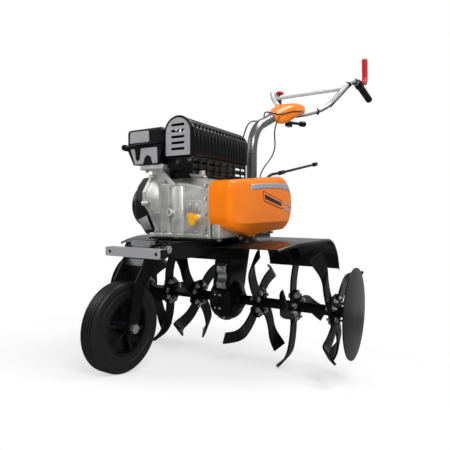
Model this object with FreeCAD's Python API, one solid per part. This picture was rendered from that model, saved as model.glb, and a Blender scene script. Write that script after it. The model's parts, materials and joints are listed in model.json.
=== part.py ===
import FreeCAD, Part
import math
import os

# Rotary tiller: petrol engine on a frame, belt drive to a central gearbox, six sets of
# curved tines on a through shaft with a disc at each end, a front transport wheel on a
# fold-up fork, and an adjustable handlebar on a bent column.
#
# Millimetres.  +X is forward, +Y is the machine's left, +Z is up.  Everything is laid out
# level, with the tine axle at X = 0, and the whole machine is then put down as it parks:
# nose down, on its tines and its front wheel.

V = FreeCAD.Vector

# ---------------------------------------------------------------- driving dimensions
# tine reel
TINE_RADIUS = 185.0          # axle to the tip of a tine
AXLE_HEIGHT = 185.0          # axle above the level layout's base line
FLANGE_PITCH = 120.0         # from one tine flange to the next
FLANGE_FIRST = 118.0         # machine centre to the first flange
FLANGE_SIZE = 92.0           # square flange, across its flats
FLANGE_THICK = 8.0
TINE_THICK = 6.0
TINE_WIDTH = 34.0
TINE_BEND = 52.0             # radius of the sideways bend
TINE_REACH = 44.0            # how far a tine's end stands out sideways
TINE_SWEEP = 52.0            # how far its end trails behind its root
SET_STEP = 30.0              # degrees from one tine set to the next
TUBE_FLATS = 30.0            # hexagonal tine tube, across its flats
DISC_RADIUS = 129.0
DISC_THICK = 3.0
DISC_DISH = 6.0
DISC_OFFSET = 412.0          # machine centre to the side disc
# front wheel and its fork
WHEEL_X = 488.0
WHEEL_Z = 209.0
WHEEL_RADIUS = 104.0
WHEEL_WIDTH = 42.0
HUB_RADIUS = 66.0
WHEEL_BORE = 8.05            # axle hole in the hub
AXLE_RADIUS = 8.0
FORK_GAP = 62.0              # between the fork's arms
FORK_THICK = 5.0
FORK_WIDTH = 34.0
PIVOT_X = 395.0
PIVOT_Z = 382.0
PIVOT_RADIUS = 6.0
BAR_X = 442.0
BAR_SIDE = 22.0
BAR_WALL = 2.0
BAR_LENGTH = 172.0
BAR_HOLE = 4.5
BAR_HOLE_EDGE = 13.0
# frame
RAIL_OUTER = 60.0            # machine centre to a side rail's outer face
RAIL_THICK = 5.0
RAIL_TOP = 396.0
RAIL_DEPTH = 44.0
RAIL_REAR = -205.0
RAIL_FRONT = 418.0
DECK_THICK = 5.0
HITCH_BORE = 13.0            # radius of the drag stake's socket
# engine
CRANK_X = 185.0
CRANK_HEIGHT = 89.0          # crankshaft above the engine's base
ENGINE_FRONT = 264.0
ENGINE_REAR = 62.0
ENGINE_RIGHT = -110.0        # fan side face of the crankcase
ENGINE_LEFT = 100.0          # drive side face of the crankcase
BELL_SIZE = 97.0             # crankshaft to a flat of the fan side flange
BELL_THICK = 12.0
BLOWER_DEPTH = 52.0
STARTER_RADIUS = 68.0
STARTER_DEPTH = 34.0
# muffler guard
GUARD_FRONT = 287.0
GUARD_REAR = -33.0
GUARD_RIGHT = -32.0
GUARD_LEFT = 54.0
GUARD_BOTTOM = 624.0
GUARD_TOP = 728.0
GUARD_WALL = 2.5
LOUVRES = 16
SLOTS = 5
# belt cover
COVER_FRONT = 272.0
COVER_REAR = -155.0
COVER_DEPTH = 66.0           # drive side face of the crankcase to the cover's outer face
COVER_WALL = 2.5
# gearbox
BOSS_RADIUS = 68.0
BOSS_HALF = 46.0
GEARCASE_HALF = 30.0
GEARCASE_RISE = 64.0         # gear case above the rails' lower edge
SHAFT_RADIUS = 14.0          # output shaft inside the tine tubes
# steering column and handlebar
COLUMN_RADIUS = 19.0
COLUMN_X = -172.0
COLUMN_BEND_Z = 770.0
HINGE_X = -440.0
HINGE_Z = 884.0
HANDLE_RADIUS = 11.0
GRIP_RADIUS = 16.0
HINGE_HALF = 22.0            # half the width of the column's hinge hub
HINGE_BOLT = 6.0
CHEEK_THICK = 5.0
CLAMP_REAR = -512.0
HANDLE_FOOT = 26.0           # machine centre to a handle tube at the clamp
CROSS_X = -758.0
CROSS_Z = 1038.0
CROSS_HALF = 177.0
CROSS_RADIUS = 8.0
CONSOLE_HALF = 50.0
CONSOLE_WALL = 3.0
CABLE_RADIUS = 2.6
# fenders
FENDER_INNER = 68.0
FENDER_OUTER = 318.0
FENDER_THICK = 2.5
FENDER_FRONT = 214.0
FENDER_REAR = -196.0

NODES = {}


# ---------------------------------------------------------------- helpers
def box(x0, x1, y0, y1, z0, z1):
    return Part.makeBox(x1 - x0, y1 - y0, z1 - z0, V(x0, y0, z0))


def rod(start, end, radius):
    line = end - start
    return Part.makeCylinder(radius, line.Length, start, line)


def ring(start, end, outer, inner):
    return rod(start, end, outer).cut(rod(start, end, inner))


def face_xz(points, y):
    corners = [V(x, y, z) for x, z in points]
    return Part.Face(Part.makePolygon(corners + [corners[0]]))


def plate_xz(points, y0, y1):
    """A side profile given as (x, z) corners, extruded across the machine."""
    return face_xz(points, y0).extrude(V(0, y1 - y0, 0))


def plate_yz(points, x0, x1):
    """A front profile given as (y, z) corners, extruded along the machine."""
    corners = [V(x0, y, z) for y, z in points]
    return Part.Face(Part.makePolygon(corners + [corners[0]])).extrude(V(x1 - x0, 0, 0))


def spline_face_xz(lines):
    """A face in the plane of its edges, from curves laid end to end."""
    return Part.Face(Part.Wire(lines))


def fuse(shapes):
    body = shapes[0]
    if len(shapes) > 1:
        body = body.multiFuse(shapes[1:])
    return body.removeSplitter()


def mirror_y(shape):
    return shape.mirror(V(0, 0, 0), V(0, 1, 0))


def rounded(shape, radius, picks):
    """Fillet the edges that a test picks out."""
    edges = [edge for edge in shape.Edges if picks(edge)]
    return shape.makeFillet(radius, edges) if edges else shape


def bent_path(points, share=0.45):
    """Straight runs joined by tangent arcs, each as large as its two runs allow."""
    edges = []
    start = points[0]
    for before, corner, after in zip(points, points[1:], points[2:]):
        back = before - corner
        ahead = after - corner
        run = min(back.Length, ahead.Length)
        trim = share * run
        back.normalize()
        ahead.normalize()
        first = corner + back * trim
        last = corner + ahead * trim
        half = back.getAngle(ahead) / 2.0
        reach = trim / math.cos(half)
        middle_line = back + ahead
        middle_line.normalize()
        radius = trim * math.tan(half)
        middle = corner + middle_line * (reach - radius)
        edges.append(Part.LineSegment(start, first).toShape())
        edges.append(Part.Arc(first, middle, last).toShape())
        start = last
    edges.append(Part.LineSegment(start, points[-1]).toShape())
    return Part.Wire(edges)


def bent_rod(points, radius, share=0.45):
    path = bent_path(points, share)
    tangent = points[1] - points[0]
    circle = Part.Wire([Part.Circle(points[0], tangent, radius).toShape()])
    return path.makePipeShell([circle], True, True)


def hexagon_rod(y0, y1, flats, x, z):
    across = flats / math.sqrt(3.0)
    corners = [(x + across * math.cos(math.radians(60 * i)), z + across * math.sin(math.radians(60 * i)))
               for i in range(6)]
    return plate_xz(corners, y0, y1)


def hex_head(centre, direction, flats, height):
    """A bolt head or nut: a hexagonal prism standing on centre."""
    across = flats / math.sqrt(3.0)
    side = V(1, 0, 0) if abs(direction.x) < 0.9 else V(0, 0, 1)
    side = side - direction * side.dot(direction)
    side.normalize()
    other = direction.cross(side)
    corners = [centre + side * (across * math.cos(math.radians(60 * i)))
               + other * (across * math.sin(math.radians(60 * i))) for i in range(6)]
    return Part.Face(Part.makePolygon(corners + [corners[0]])).extrude(direction * height)


# ---------------------------------------------------------------- tine reel
def tine_blank():
    """One curved tine, root at the axle, tip up +Z, bent towards +Y, trailing towards -X."""
    root = FLANGE_SIZE * 0.26
    bend_start = TINE_RADIUS - TINE_BEND
    lean = math.acos(1.0 - TINE_REACH / TINE_BEND)
    outer_mid = V(0, TINE_BEND - TINE_BEND * math.cos(lean / 2), bend_start + TINE_BEND * math.sin(lean / 2))
    outer_end = V(0, TINE_REACH, bend_start + TINE_BEND * math.sin(lean))
    inner = TINE_BEND - TINE_THICK
    inner_end = V(0, TINE_BEND - inner * math.cos(lean), bend_start + inner * math.sin(lean))
    inner_mid = V(0, TINE_BEND - inner * math.cos(lean / 2), bend_start + inner * math.sin(lean / 2))
    strip = Part.Wire([
        Part.LineSegment(V(0, 0, root), V(0, 0, bend_start)).toShape(),
        Part.Arc(V(0, 0, bend_start), outer_mid, outer_end).toShape(),
        Part.LineSegment(outer_end, inner_end).toShape(),
        Part.Arc(inner_end, inner_mid, V(0, TINE_THICK, bend_start)).toShape(),
        Part.LineSegment(V(0, TINE_THICK, bend_start), V(0, TINE_THICK, root)).toShape(),
        Part.LineSegment(V(0, TINE_THICK, root), V(0, 0, root)).toShape()])
    reach = TINE_SWEEP + TINE_WIDTH
    strip = Part.Face(strip).extrude(V(2 * reach, 0, 0))
    strip.translate(V(-reach, 0, 0))
    half = TINE_WIDTH / 2
    sabre = Part.Wire([
        Part.Arc(V(half, -1, root), V(half - TINE_SWEEP * 0.16, -1, TINE_RADIUS * 0.6),
                 V(half - TINE_SWEEP, -1, TINE_RADIUS + 2)).toShape(),
        Part.LineSegment(V(half - TINE_SWEEP, -1, TINE_RADIUS + 2),
                         V(-half - TINE_SWEEP, -1, TINE_RADIUS - half)).toShape(),
        Part.Arc(V(-half - TINE_SWEEP, -1, TINE_RADIUS - half),
                 V(-half - TINE_SWEEP * 0.16, -1, TINE_RADIUS * 0.6), V(-half, -1, root)).toShape(),
        Part.LineSegment(V(-half, -1, root), V(half, -1, root)).toShape()])
    sabre = Part.Face(sabre).extrude(V(0, TINE_REACH + 2, 0))
    drum = rod(V(0, -2, 0), V(0, TINE_REACH + 2, 0), TINE_RADIUS)
    return strip.common(sabre).common(drum)


def tine_set(phase):
    """A flange with four tines, bent left and right in turn, about the origin."""
    half = FLANGE_SIZE / 2
    corner = half * 0.45
    outline = [(half, corner), (corner, half), (-corner, half), (-half, corner),
               (-half, -corner), (-corner, -half), (corner, -half), (half, -corner)]
    flange = plate_xz(outline, -FLANGE_THICK / 2, FLANGE_THICK / 2)
    hub = rod(V(0, -FLANGE_THICK * 2, 0), V(0, FLANGE_THICK * 2, 0), TUBE_FLATS * 0.75)
    pieces = [flange, hub]
    blank = tine_blank()
    for i in range(4):
        tine = blank.copy()
        tine.translate(V(0, FLANGE_THICK / 2, 0))
        side = V(0, 1, 0)
        if i % 2:
            tine = mirror_y(tine)
            side = V(0, -1, 0)
        bolt = V(0, 0, FLANGE_SIZE * 0.36)
        head = hex_head(bolt + side * (FLANGE_THICK / 2 + TINE_THICK), side, 13.0, 6.0)
        tail = hex_head(bolt - side * (FLANGE_THICK / 2), side * -1.0, 13.0, 9.0)
        tine = fuse([tine, head, tail])
        tine.rotate(V(0, 0, 0), V(0, 1, 0), 90.0 * i)
        pieces.append(tine)
    whole = fuse(pieces)
    whole.rotate(V(0, 0, 0), V(0, 1, 0), phase)
    return whole.cut(hexagon_rod(-FLANGE_THICK * 3, FLANGE_THICK * 3, TUBE_FLATS, 0, 0))


def side_disc():
    """A dished disc facing +Y, its rim in the plane through the origin."""
    rim = DISC_RADIUS
    flat = rim * 0.2
    mid = rim * 0.62
    low = DISC_DISH * 0.75
    outer = Part.Arc(V(0, DISC_DISH + DISC_THICK, flat), V(0, low + DISC_THICK, mid), V(0, DISC_THICK, rim))
    inner = Part.Arc(V(0, 0, rim), V(0, low, mid), V(0, DISC_DISH, flat))
    skin = Part.Wire([outer.toShape(),
                      Part.LineSegment(V(0, DISC_THICK, rim), V(0, 0, rim)).toShape(),
                      inner.toShape(),
                      Part.LineSegment(V(0, DISC_DISH, flat), V(0, DISC_DISH, 0)).toShape(),
                      Part.LineSegment(V(0, DISC_DISH, 0), V(0, DISC_DISH + DISC_THICK, 0)).toShape(),
                      Part.LineSegment(V(0, DISC_DISH + DISC_THICK, 0),
                                       V(0, DISC_DISH + DISC_THICK, flat)).toShape()])
    return Part.Face(skin).revolve(V(0, 0, 0), V(0, 1, 0), 360)


def build_reel():
    """All reel nodes about the axle at the origin, in the parked (world) orientation."""
    reel = {}
    tube_start = BOSS_HALF + 8.0
    tube_end = DISC_OFFSET + DISC_DISH
    shaft = [rod(V(0, -tube_start - 30, 0), V(0, tube_start + 30, 0), SHAFT_RADIUS)]
    for side in (1, -1):
        shaft.append(hexagon_rod(*sorted((side * tube_start, side * tube_end)), TUBE_FLATS, 0, 0))
    reel["tine_shaft"] = fuse(shaft)
    for side, word in ((1, "left"), (-1, "right")):
        for i in range(3):
            phase = 180.0 + SET_STEP / 2 - SET_STEP * i
            shape = tine_set(phase)
            if side < 0:
                shape = mirror_y(shape)
            shape.translate(V(0, side * (FLANGE_FIRST + FLANGE_PITCH * i), 0))
            reel["tine_set_%s_%d" % (word, i + 1)] = shape
        disc = side_disc()
        if side < 0:
            disc = mirror_y(disc)
        disc.translate(V(0, side * DISC_OFFSET, 0))
        reel["side_disc_" + word] = disc
    return reel


# ---------------------------------------------------------------- front wheel and fork
def build_wheel():
    half = WHEEL_WIDTH / 2
    shoulder = 10.0
    tyre = Part.Wire([
        Part.LineSegment(V(0, -half, HUB_RADIUS), V(0, -half, WHEEL_RADIUS - shoulder)).toShape(),
        Part.Arc(V(0, -half, WHEEL_RADIUS - shoulder),
                 V(0, -half + shoulder * 0.3, WHEEL_RADIUS - shoulder * 0.3),
                 V(0, -half + shoulder, WHEEL_RADIUS)).toShape(),
        Part.LineSegment(V(0, -half + shoulder, WHEEL_RADIUS), V(0, half - shoulder, WHEEL_RADIUS)).toShape(),
        Part.Arc(V(0, half - shoulder, WHEEL_RADIUS),
                 V(0, half - shoulder * 0.3, WHEEL_RADIUS - shoulder * 0.3),
                 V(0, half, WHEEL_RADIUS - shoulder)).toShape(),
        Part.LineSegment(V(0, half, WHEEL_RADIUS - shoulder), V(0, half, HUB_RADIUS)).toShape(),
        Part.LineSegment(V(0, half, HUB_RADIUS), V(0, -half, HUB_RADIUS)).toShape()])
    tyre = Part.Face(tyre).revolve(V(0, 0, 0), V(0, 1, 0), 360)
    hub = ring(V(0, -half + 2, 0), V(0, half - 2, 0), HUB_RADIUS, HUB_RADIUS - 7)
    web = rod(V(0, -4, 0), V(0, 4, 0), HUB_RADIUS - 6)
    core = rod(V(0, -half - 6, 0), V(0, half + 6, 0), 17.0)
    spokes = []
    for i in range(6):
        spoke = box(-4, 4, -half + 5, half - 5, 12, HUB_RADIUS - 4)
        spoke.rotate(V(0, 0, 0), V(0, 1, 0), 60.0 * i + 15.0)
        spokes.append(spoke)
    hub = fuse([hub, web, core] + spokes)
    hub = hub.cut(rod(V(0, -half - 10, 0), V(0, half + 10, 0), WHEEL_BORE))
    place = V(WHEEL_X, 0, WHEEL_Z)
    tyre.translate(place)
    hub.translate(place)
    NODES["wheel_tyre"] = tyre
    NODES["wheel_hub"] = hub


def build_fork():
    """Two bent arms from the frame pivot down to the wheel axle, with cross pieces."""
    inner = FORK_GAP / 2
    half = FORK_WIDTH / 2
    knee_x = WHEEL_X - 20.0
    knee_z = (PIVOT_Z + WHEEL_Z) / 2 + 8.0
    outline = [(PIVOT_X - 16, PIVOT_Z - half), (PIVOT_X - 16, PIVOT_Z + 16), (PIVOT_X + 30, PIVOT_Z + 10),
               (knee_x + half * 0.6, knee_z + 10), (WHEEL_X + 15, WHEEL_Z + 5), (WHEEL_X + 8, WHEEL_Z - 15),
               (WHEEL_X - 8, WHEEL_Z - 15), (WHEEL_X - 15, WHEEL_Z), (knee_x - half * 1.2, knee_z - 4)]
    arms = []
    for side in (1, -1):
        ends = sorted((side * inner, side * (inner + FORK_THICK)))
        arm = plate_xz(outline, ends[0], ends[1])
        arm = arm.cut(rod(V(PIVOT_X, ends[0] - 1, PIVOT_Z), V(PIVOT_X, ends[1] + 1, PIVOT_Z),
                          PIVOT_RADIUS + 0.05))
        arms.append(arm)
    shield = box(WHEEL_X - 50, WHEEL_X - 46, -inner, inner, WHEEL_Z + WHEEL_RADIUS + 8, PIVOT_Z - 38)
    NODES["wheel_fork"] = fuse(arms + [shield])
    NODES["fork_bridge"] = box(WHEEL_X - 57, WHEEL_X - 50, -inner, inner, PIVOT_Z - 38, PIVOT_Z - 22)
    NODES["fork_latch"] = box(PIVOT_X + 10, PIVOT_X + 28, -inner, inner, PIVOT_Z + 4, PIVOT_Z + 20)
    reach = inner + FORK_THICK
    axle = [rod(V(WHEEL_X, -reach - 6, WHEEL_Z), V(WHEEL_X, reach + 6, WHEEL_Z), AXLE_RADIUS)]
    for side in (1, -1):
        direction = V(0, side, 0)
        start = V(WHEEL_X, side * reach, WHEEL_Z)
        axle.append(hex_head(start + direction * 0.0, direction, 19.0, 8.0))
    NODES["wheel_axle"] = fuse(axle)
    NODES["wheel_fork"] = NODES["wheel_fork"].cut(
        rod(V(WHEEL_X, -reach - 1, WHEEL_Z), V(WHEEL_X, reach + 1, WHEEL_Z), AXLE_RADIUS))
    # the square lifting bar stands on the fork's shoulders, in front of the pivot
    bar_z = PIVOT_Z - 6.0
    half_bar = BAR_LENGTH / 2
    side = BAR_SIDE / 2
    bar = box(BAR_X - side, BAR_X + side, -half_bar, half_bar, bar_z - side, bar_z + side)
    core = side - BAR_WALL
    bar = bar.cut(box(BAR_X - core, BAR_X + core, -half_bar - 1, half_bar + 1, bar_z - core, bar_z + core))
    for y in (half_bar - BAR_HOLE_EDGE, -half_bar + BAR_HOLE_EDGE):
        bar = bar.cut(rod(V(BAR_X - 40, y, bar_z), V(BAR_X + 40, y, bar_z), BAR_HOLE))
    NODES["lifting_bar"] = bar
    NODES["wheel_fork"] = NODES["wheel_fork"].cut(
        box(BAR_X - side, BAR_X + side + 60, -half_bar, half_bar, bar_z - side, bar_z + side + 30))


# ---------------------------------------------------------------- frame
def build_frame():
    low = RAIL_TOP - RAIL_DEPTH
    outline = [(RAIL_REAR, RAIL_TOP), (RAIL_REAR, low + 12), (-110, low), (PIVOT_X - 60, low),
               (PIVOT_X - 10, PIVOT_Z - 18), (RAIL_FRONT - 6, PIVOT_Z - 14), (RAIL_FRONT, PIVOT_Z),
               (RAIL_FRONT - 8, RAIL_TOP)]
    rails = []
    for side in (1, -1):
        ends = sorted((side * RAIL_OUTER, side * (RAIL_OUTER - RAIL_THICK)))
        rail = plate_xz(outline, ends[0], ends[1])
        rail = rail.cut(rod(V(PIVOT_X, ends[0] - 1, PIVOT_Z), V(PIVOT_X, ends[1] + 1, PIVOT_Z), PIVOT_RADIUS))
        rails.append(rail)
    inside = RAIL_OUTER - RAIL_THICK
    ties = [box(330, 338, -inside, inside, low + 2, RAIL_TOP),
            box(RAIL_REAR + 4, RAIL_REAR + 12, -inside, inside, low + 14, RAIL_TOP)]
    deck = box(20, 286, -92, 96, RAIL_TOP, RAIL_TOP + DECK_THICK)
    NODES["frame"] = fuse(rails + ties + [deck])
    pin = [rod(V(PIVOT_X, -RAIL_OUTER - 8, PIVOT_Z), V(PIVOT_X, RAIL_OUTER + 8, PIVOT_Z), PIVOT_RADIUS)]
    for side in (1, -1):
        pin.append(hex_head(V(PIVOT_X, side * RAIL_OUTER, PIVOT_Z), V(0, side, 0), 18.0, 7.0))
    NODES["fork_pivot_bolt"] = fuse(pin)
    hitch = box(RAIL_REAR - 40, RAIL_REAR + 4, -24, 24, low + 14, RAIL_TOP)
    axis = RAIL_REAR - 18
    hitch = hitch.cut(rod(V(axis, 0, low), V(axis, 0, RAIL_TOP + 10), HITCH_BORE))
    NODES["hitch_block"] = hitch.cut(NODES["frame"])


# ---------------------------------------------------------------- gearbox
def build_gearbox():
    z = AXLE_HEIGHT
    top = RAIL_TOP - RAIL_DEPTH
    case = plate_xz([(-58, z), (58, z), (30, top + 18), (-20, top + GEARCASE_RISE), (-110, top + GEARCASE_RISE),
                     (-112, top + 12)], -GEARCASE_HALF, GEARCASE_HALF)
    boss = rod(V(0, -BOSS_HALF, z), V(0, BOSS_HALF, z), BOSS_RADIUS)
    boss = rounded(boss, 16.0, lambda e: e.Curve.TypeId == "Part::GeomCircle" and e.Length > 300)
    sleeve = rod(V(0, -BOSS_HALF - 6, z), V(0, BOSS_HALF + 6, z), 30.0)
    box_shape = fuse([case, boss, sleeve])
    box_shape = box_shape.cut(rod(V(0, -90, z), V(0, 90, z), SHAFT_RADIUS + 0.06))
    NODES["gearbox"] = box_shape
    arms = []
    for y in (-RAIL_OUTER + RAIL_THICK, GEARCASE_HALF):
        arms.append(box(-100, -30, y, y + RAIL_OUTER - RAIL_THICK - GEARCASE_HALF, top + 20, top + 34))
    NODES["gearbox_mounts"] = Part.makeCompound(arms)
    wave = [(40, z + 92), (66, z + 92), (66, z + 111), (58, z + 120), (66, z + 129), (66, z + 149), (51, z + 164)]
    back = [(62, z + 96), (62, z + 110), (54, z + 120), (62, z + 130), (62, z + 147), (48, z + 161)]
    strap = plate_xz(wave + back[::-1] + [(40, z + 96)], -4, 30)
    NODES["gearbox_bracket"] = strap.cut(NODES["gearbox"])


# ---------------------------------------------------------------- engine
def build_engine():
    base = RAIL_TOP + DECK_THICK
    crank = base + CRANK_HEIGHT
    top = base + 176.0
    flange = box(ENGINE_REAR - 8, ENGINE_FRONT + 8, ENGINE_RIGHT + 6, ENGINE_LEFT - 4, base, base + 11)
    core = box(ENGINE_REAR, ENGINE_FRONT, ENGINE_RIGHT + BELL_THICK, ENGINE_LEFT, base + 11, top - 6)
    core = rounded(core, 26.0, lambda e: abs(e.tangentAt(e.FirstParameter).y) > 0.99
                   and e.CenterOfMass.z > top - 20)
    cut = BELL_SIZE * 0.45
    bell = plate_xz([(CRANK_X - BELL_SIZE, crank - cut), (CRANK_X - BELL_SIZE, crank + cut),
                     (CRANK_X - cut, crank + BELL_SIZE * 0.9), (CRANK_X + cut, crank + BELL_SIZE * 0.9),
                     (CRANK_X + BELL_SIZE, crank + cut), (CRANK_X + BELL_SIZE, crank + 4),
                     (CRANK_X + BELL_SIZE * 0.76, crank - cut * 0.6), (CRANK_X + cut * 0.8, base),
                     (CRANK_X - cut * 0.8, base)], ENGINE_RIGHT, ENGINE_RIGHT + BELL_THICK)
    NODES["engine_block"] = fuse([flange, core, bell])
    blower = plate_xz([(CRANK_X - BELL_SIZE + 3, crank - cut), (CRANK_X - BELL_SIZE + 3, crank + cut),
                       (CRANK_X - cut, crank + BELL_SIZE * 0.95), (CRANK_X + cut, crank + BELL_SIZE * 0.95),
                       (CRANK_X + BELL_SIZE - 2, crank + cut), (CRANK_X + BELL_SIZE - 2, crank - cut * 0.5),
                       (CRANK_X + cut, base + 2), (CRANK_X - cut, base + 2)],
                      ENGINE_RIGHT - BLOWER_DEPTH, ENGINE_RIGHT)
    blower = rounded(blower, 14.0, lambda e: abs(e.CenterOfMass.y - ENGINE_RIGHT + BLOWER_DEPTH) < 0.5)
    NODES["blower_housing"] = blower
    outer = ENGINE_RIGHT - BLOWER_DEPTH
    starter = rod(V(CRANK_X, outer, crank), V(CRANK_X, outer - STARTER_DEPTH, crank), STARTER_RADIUS)
    starter = rounded(starter, 10.0, lambda e: e.CenterOfMass.y < outer - STARTER_DEPTH + 1)
    NODES["recoil_starter"] = starter
    head = []
    axis = V(-math.cos(math.radians(40)), 0, math.sin(math.radians(40)))
    foot = V(ENGINE_REAR + 2, -20, crank + 18)
    for i in range(9):
        fin = Part.makeCylinder(56.0, 3.5, foot + axis * (8.0 + 9.0 * i), axis)
        head.append(fin)
    barrel = Part.makeCylinder(44.0, 92.0, foot, axis)
    cylinder = fuse(head + [barrel]).cut(NODES["engine_block"])
    NODES["cylinder"] = max(cylinder.Solids, key=lambda s: s.Volume)
    stick = rod(V(ENGINE_FRONT, 46, base + 58), V(ENGINE_FRONT + 16, 46, base + 58), 13.0)
    NODES["dipstick"] = stick


def build_top():
    """Muffler, its guard, air cleaner and fuel tank above the crankcase."""
    base = RAIL_TOP + DECK_THICK
    case_top = base + 170.0
    wall = GUARD_WALL
    radius = (GUARD_LEFT - GUARD_RIGHT) / 2
    middle = (GUARD_LEFT + GUARD_RIGHT) / 2
    shoulder = GUARD_TOP - radius

    def arch(inset, x0, x1):
        r = radius - inset
        bottom = GUARD_BOTTOM
        wire = Part.Wire([
            Part.LineSegment(V(x0, middle - r, bottom), V(x0, middle - r, shoulder)).toShape(),
            Part.Arc(V(x0, middle - r, shoulder), V(x0, middle, shoulder + r), V(x0, middle + r, shoulder)).toShape(),
            Part.LineSegment(V(x0, middle + r, shoulder), V(x0, middle + r, bottom)).toShape(),
            Part.LineSegment(V(x0, middle + r, bottom), V(x0, middle - r, bottom)).toShape()])
        return Part.Face(wire).extrude(V(x1 - x0, 0, 0))

    guard = arch(0, GUARD_REAR, GUARD_FRONT - wall)
    guard = guard.cut(arch(wall, GUARD_REAR - 1, GUARD_FRONT))
    pitch = (GUARD_FRONT - GUARD_REAR - 30.0) / LOUVRES
    cuts = []
    for i in range(LOUVRES):
        x = GUARD_REAR + 15.0 + pitch * (i + 0.5)
        cuts.append(box(x - 3.5, x + 3.5, GUARD_RIGHT - 2, GUARD_LEFT + 2, GUARD_BOTTOM + 12, shoulder - 4))
    guard = guard.cut(Part.makeCompound(cuts))
    NODES["muffler_guard"] = guard
    panel = arch(0, GUARD_FRONT - wall, GUARD_FRONT)
    slots = []
    slot_pitch = (GUARD_TOP - GUARD_BOTTOM - 24.0) / SLOTS
    for i in range(SLOTS):
        z = GUARD_BOTTOM + 14.0 + slot_pitch * i
        slots.append(box(GUARD_FRONT - 10, GUARD_FRONT + 1, middle - 22, middle + 22, z, z + 7))
    NODES["guard_front_panel"] = panel.cut(Part.makeCompound(slots))
    skirt = box(GUARD_REAR + 30, GUARD_FRONT - 20, GUARD_LEFT - 12, GUARD_LEFT - 9, case_top, GUARD_BOTTOM)
    skirt = skirt.fuse(box(GUARD_REAR + 30, GUARD_FRONT - 20, GUARD_LEFT - 12, GUARD_LEFT,
                           GUARD_BOTTOM - 3, GUARD_BOTTOM)).removeSplitter()
    NODES["muffler_skirt"] = skirt
    muffler = rod(V(GUARD_REAR + 40, middle, GUARD_BOTTOM + 50), V(GUARD_FRONT - 60, middle, GUARD_BOTTOM + 50), 32.0)
    pipe = rod(V(90, middle, case_top - 4), V(90, middle, GUARD_BOTTOM + 30), 14.0)
    NODES["muffler"] = fuse([muffler, pipe]).cut(NODES["engine_block"])
    left = GUARD_RIGHT - 4.0
    cleaner = box(150, 296, left - 104, left, GUARD_BOTTOM - 8, GUARD_BOTTOM + 92)
    cleaner = rounded(cleaner, 16.0, lambda e: abs(e.tangentAt(e.FirstParameter).z) < 0.1
                      and e.CenterOfMass.z > GUARD_BOTTOM + 80)
    NODES["air_cleaner"] = cleaner
    shelf = box(140, 300, left - 96, left - 6, GUARD_BOTTOM - 14, GUARD_BOTTOM - 8)
    neck = box(150, 200, left - 70, left - 20, case_top - 12, GUARD_BOTTOM - 14)
    NODES["intake_bracket"] = fuse([shelf, neck]).cut(NODES["engine_block"])
    tank = box(-70, 132, left - 150, left, GUARD_BOTTOM - 20, GUARD_BOTTOM + 84)
    tank = rounded(tank, 20.0, lambda e: True)
    cap = rod(V(30, left - 75, GUARD_BOTTOM + 84), V(30, left - 75, GUARD_BOTTOM + 98), 26.0)
    NODES["fuel_tank"] = fuse([tank, cap])
    posts = [box(70, 84, left - 40, left - 30, case_top - 12, GUARD_BOTTOM - 20)]
    NODES["tank_bracket"] = Part.makeCompound(posts).cut(NODES["engine_block"])


# ---------------------------------------------------------------- belt cover
def build_cover():
    base = RAIL_TOP
    crease = base + 38.0
    outline = [(COVER_FRONT, crease), (COVER_FRONT - 4, base + 152), (COVER_FRONT - 30, base + 160),
               (-60, base + 192), (COVER_REAR + 40, base + 178), (COVER_REAR + 6, base + 140),
               (COVER_REAR, base + 90), (COVER_REAR + 14, crease), (COVER_REAR + 60, base + 14),
               (60, base + 14), (120, base + 2), (COVER_FRONT - 60, base + 14)]
    shell = plate_xz(outline, ENGINE_LEFT, (ENGINE_LEFT + COVER_DEPTH))
    shell = rounded(shell, 14.0, lambda e: abs(e.CenterOfMass.y - (ENGINE_LEFT + COVER_DEPTH)) < 0.5)
    hollow = [(x + (COVER_WALL if x < 60 else -COVER_WALL) * 1.6,
               z + (COVER_WALL if z < base + 90 else -COVER_WALL) * 1.6) for x, z in outline]
    inside = plate_xz(hollow, ENGINE_LEFT - 1, (ENGINE_LEFT + COVER_DEPTH) - COVER_WALL)
    inside = rounded(inside, 11.5, lambda e: abs(e.CenterOfMass.y - (ENGINE_LEFT + COVER_DEPTH) + COVER_WALL) < 0.5)
    NODES["belt_cover"] = shell.cut(inside)
    backplate = plate_xz(hollow, ENGINE_LEFT, ENGINE_LEFT + 3)
    NODES["belt_backplate"] = backplate


# ---------------------------------------------------------------- fenders
def build_fenders():
    top = AXLE_HEIGHT + TINE_RADIUS + 18.0
    thick = FENDER_THICK
    profile = [(FENDER_FRONT, top - 14), (90, top), (-50, top - 2), (-112, top - 14), (-160, top - 46),
               (-184, top - 82), (FENDER_REAR, top - 114)]
    under = [(x, z - thick) for x, z in profile[:3]]
    under += [(x + thick, z - thick * 0.8) for x, z in profile[3:]]
    sheet = plate_xz(profile + under[::-1], FENDER_INNER, FENDER_OUTER)
    corner = Part.Face(Part.makePolygon([V(FENDER_FRONT + 5, FENDER_OUTER - 50, 0), V(60, FENDER_OUTER + 1, 0),
                                         V(FENDER_FRONT + 5, FENDER_OUTER + 1, 0),
                                         V(FENDER_FRONT + 5, FENDER_OUTER - 50, 0)])).extrude(V(0, 0, 900))
    sheet = sheet.cut(corner)
    lug = box(-40, 84, RAIL_OUTER, FENDER_INNER + 20, top - 4.5, top + 3)
    NODES["fender_left"] = fuse([sheet, lug])
    NODES["fender_right"] = mirror_y(NODES["fender_left"])


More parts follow.
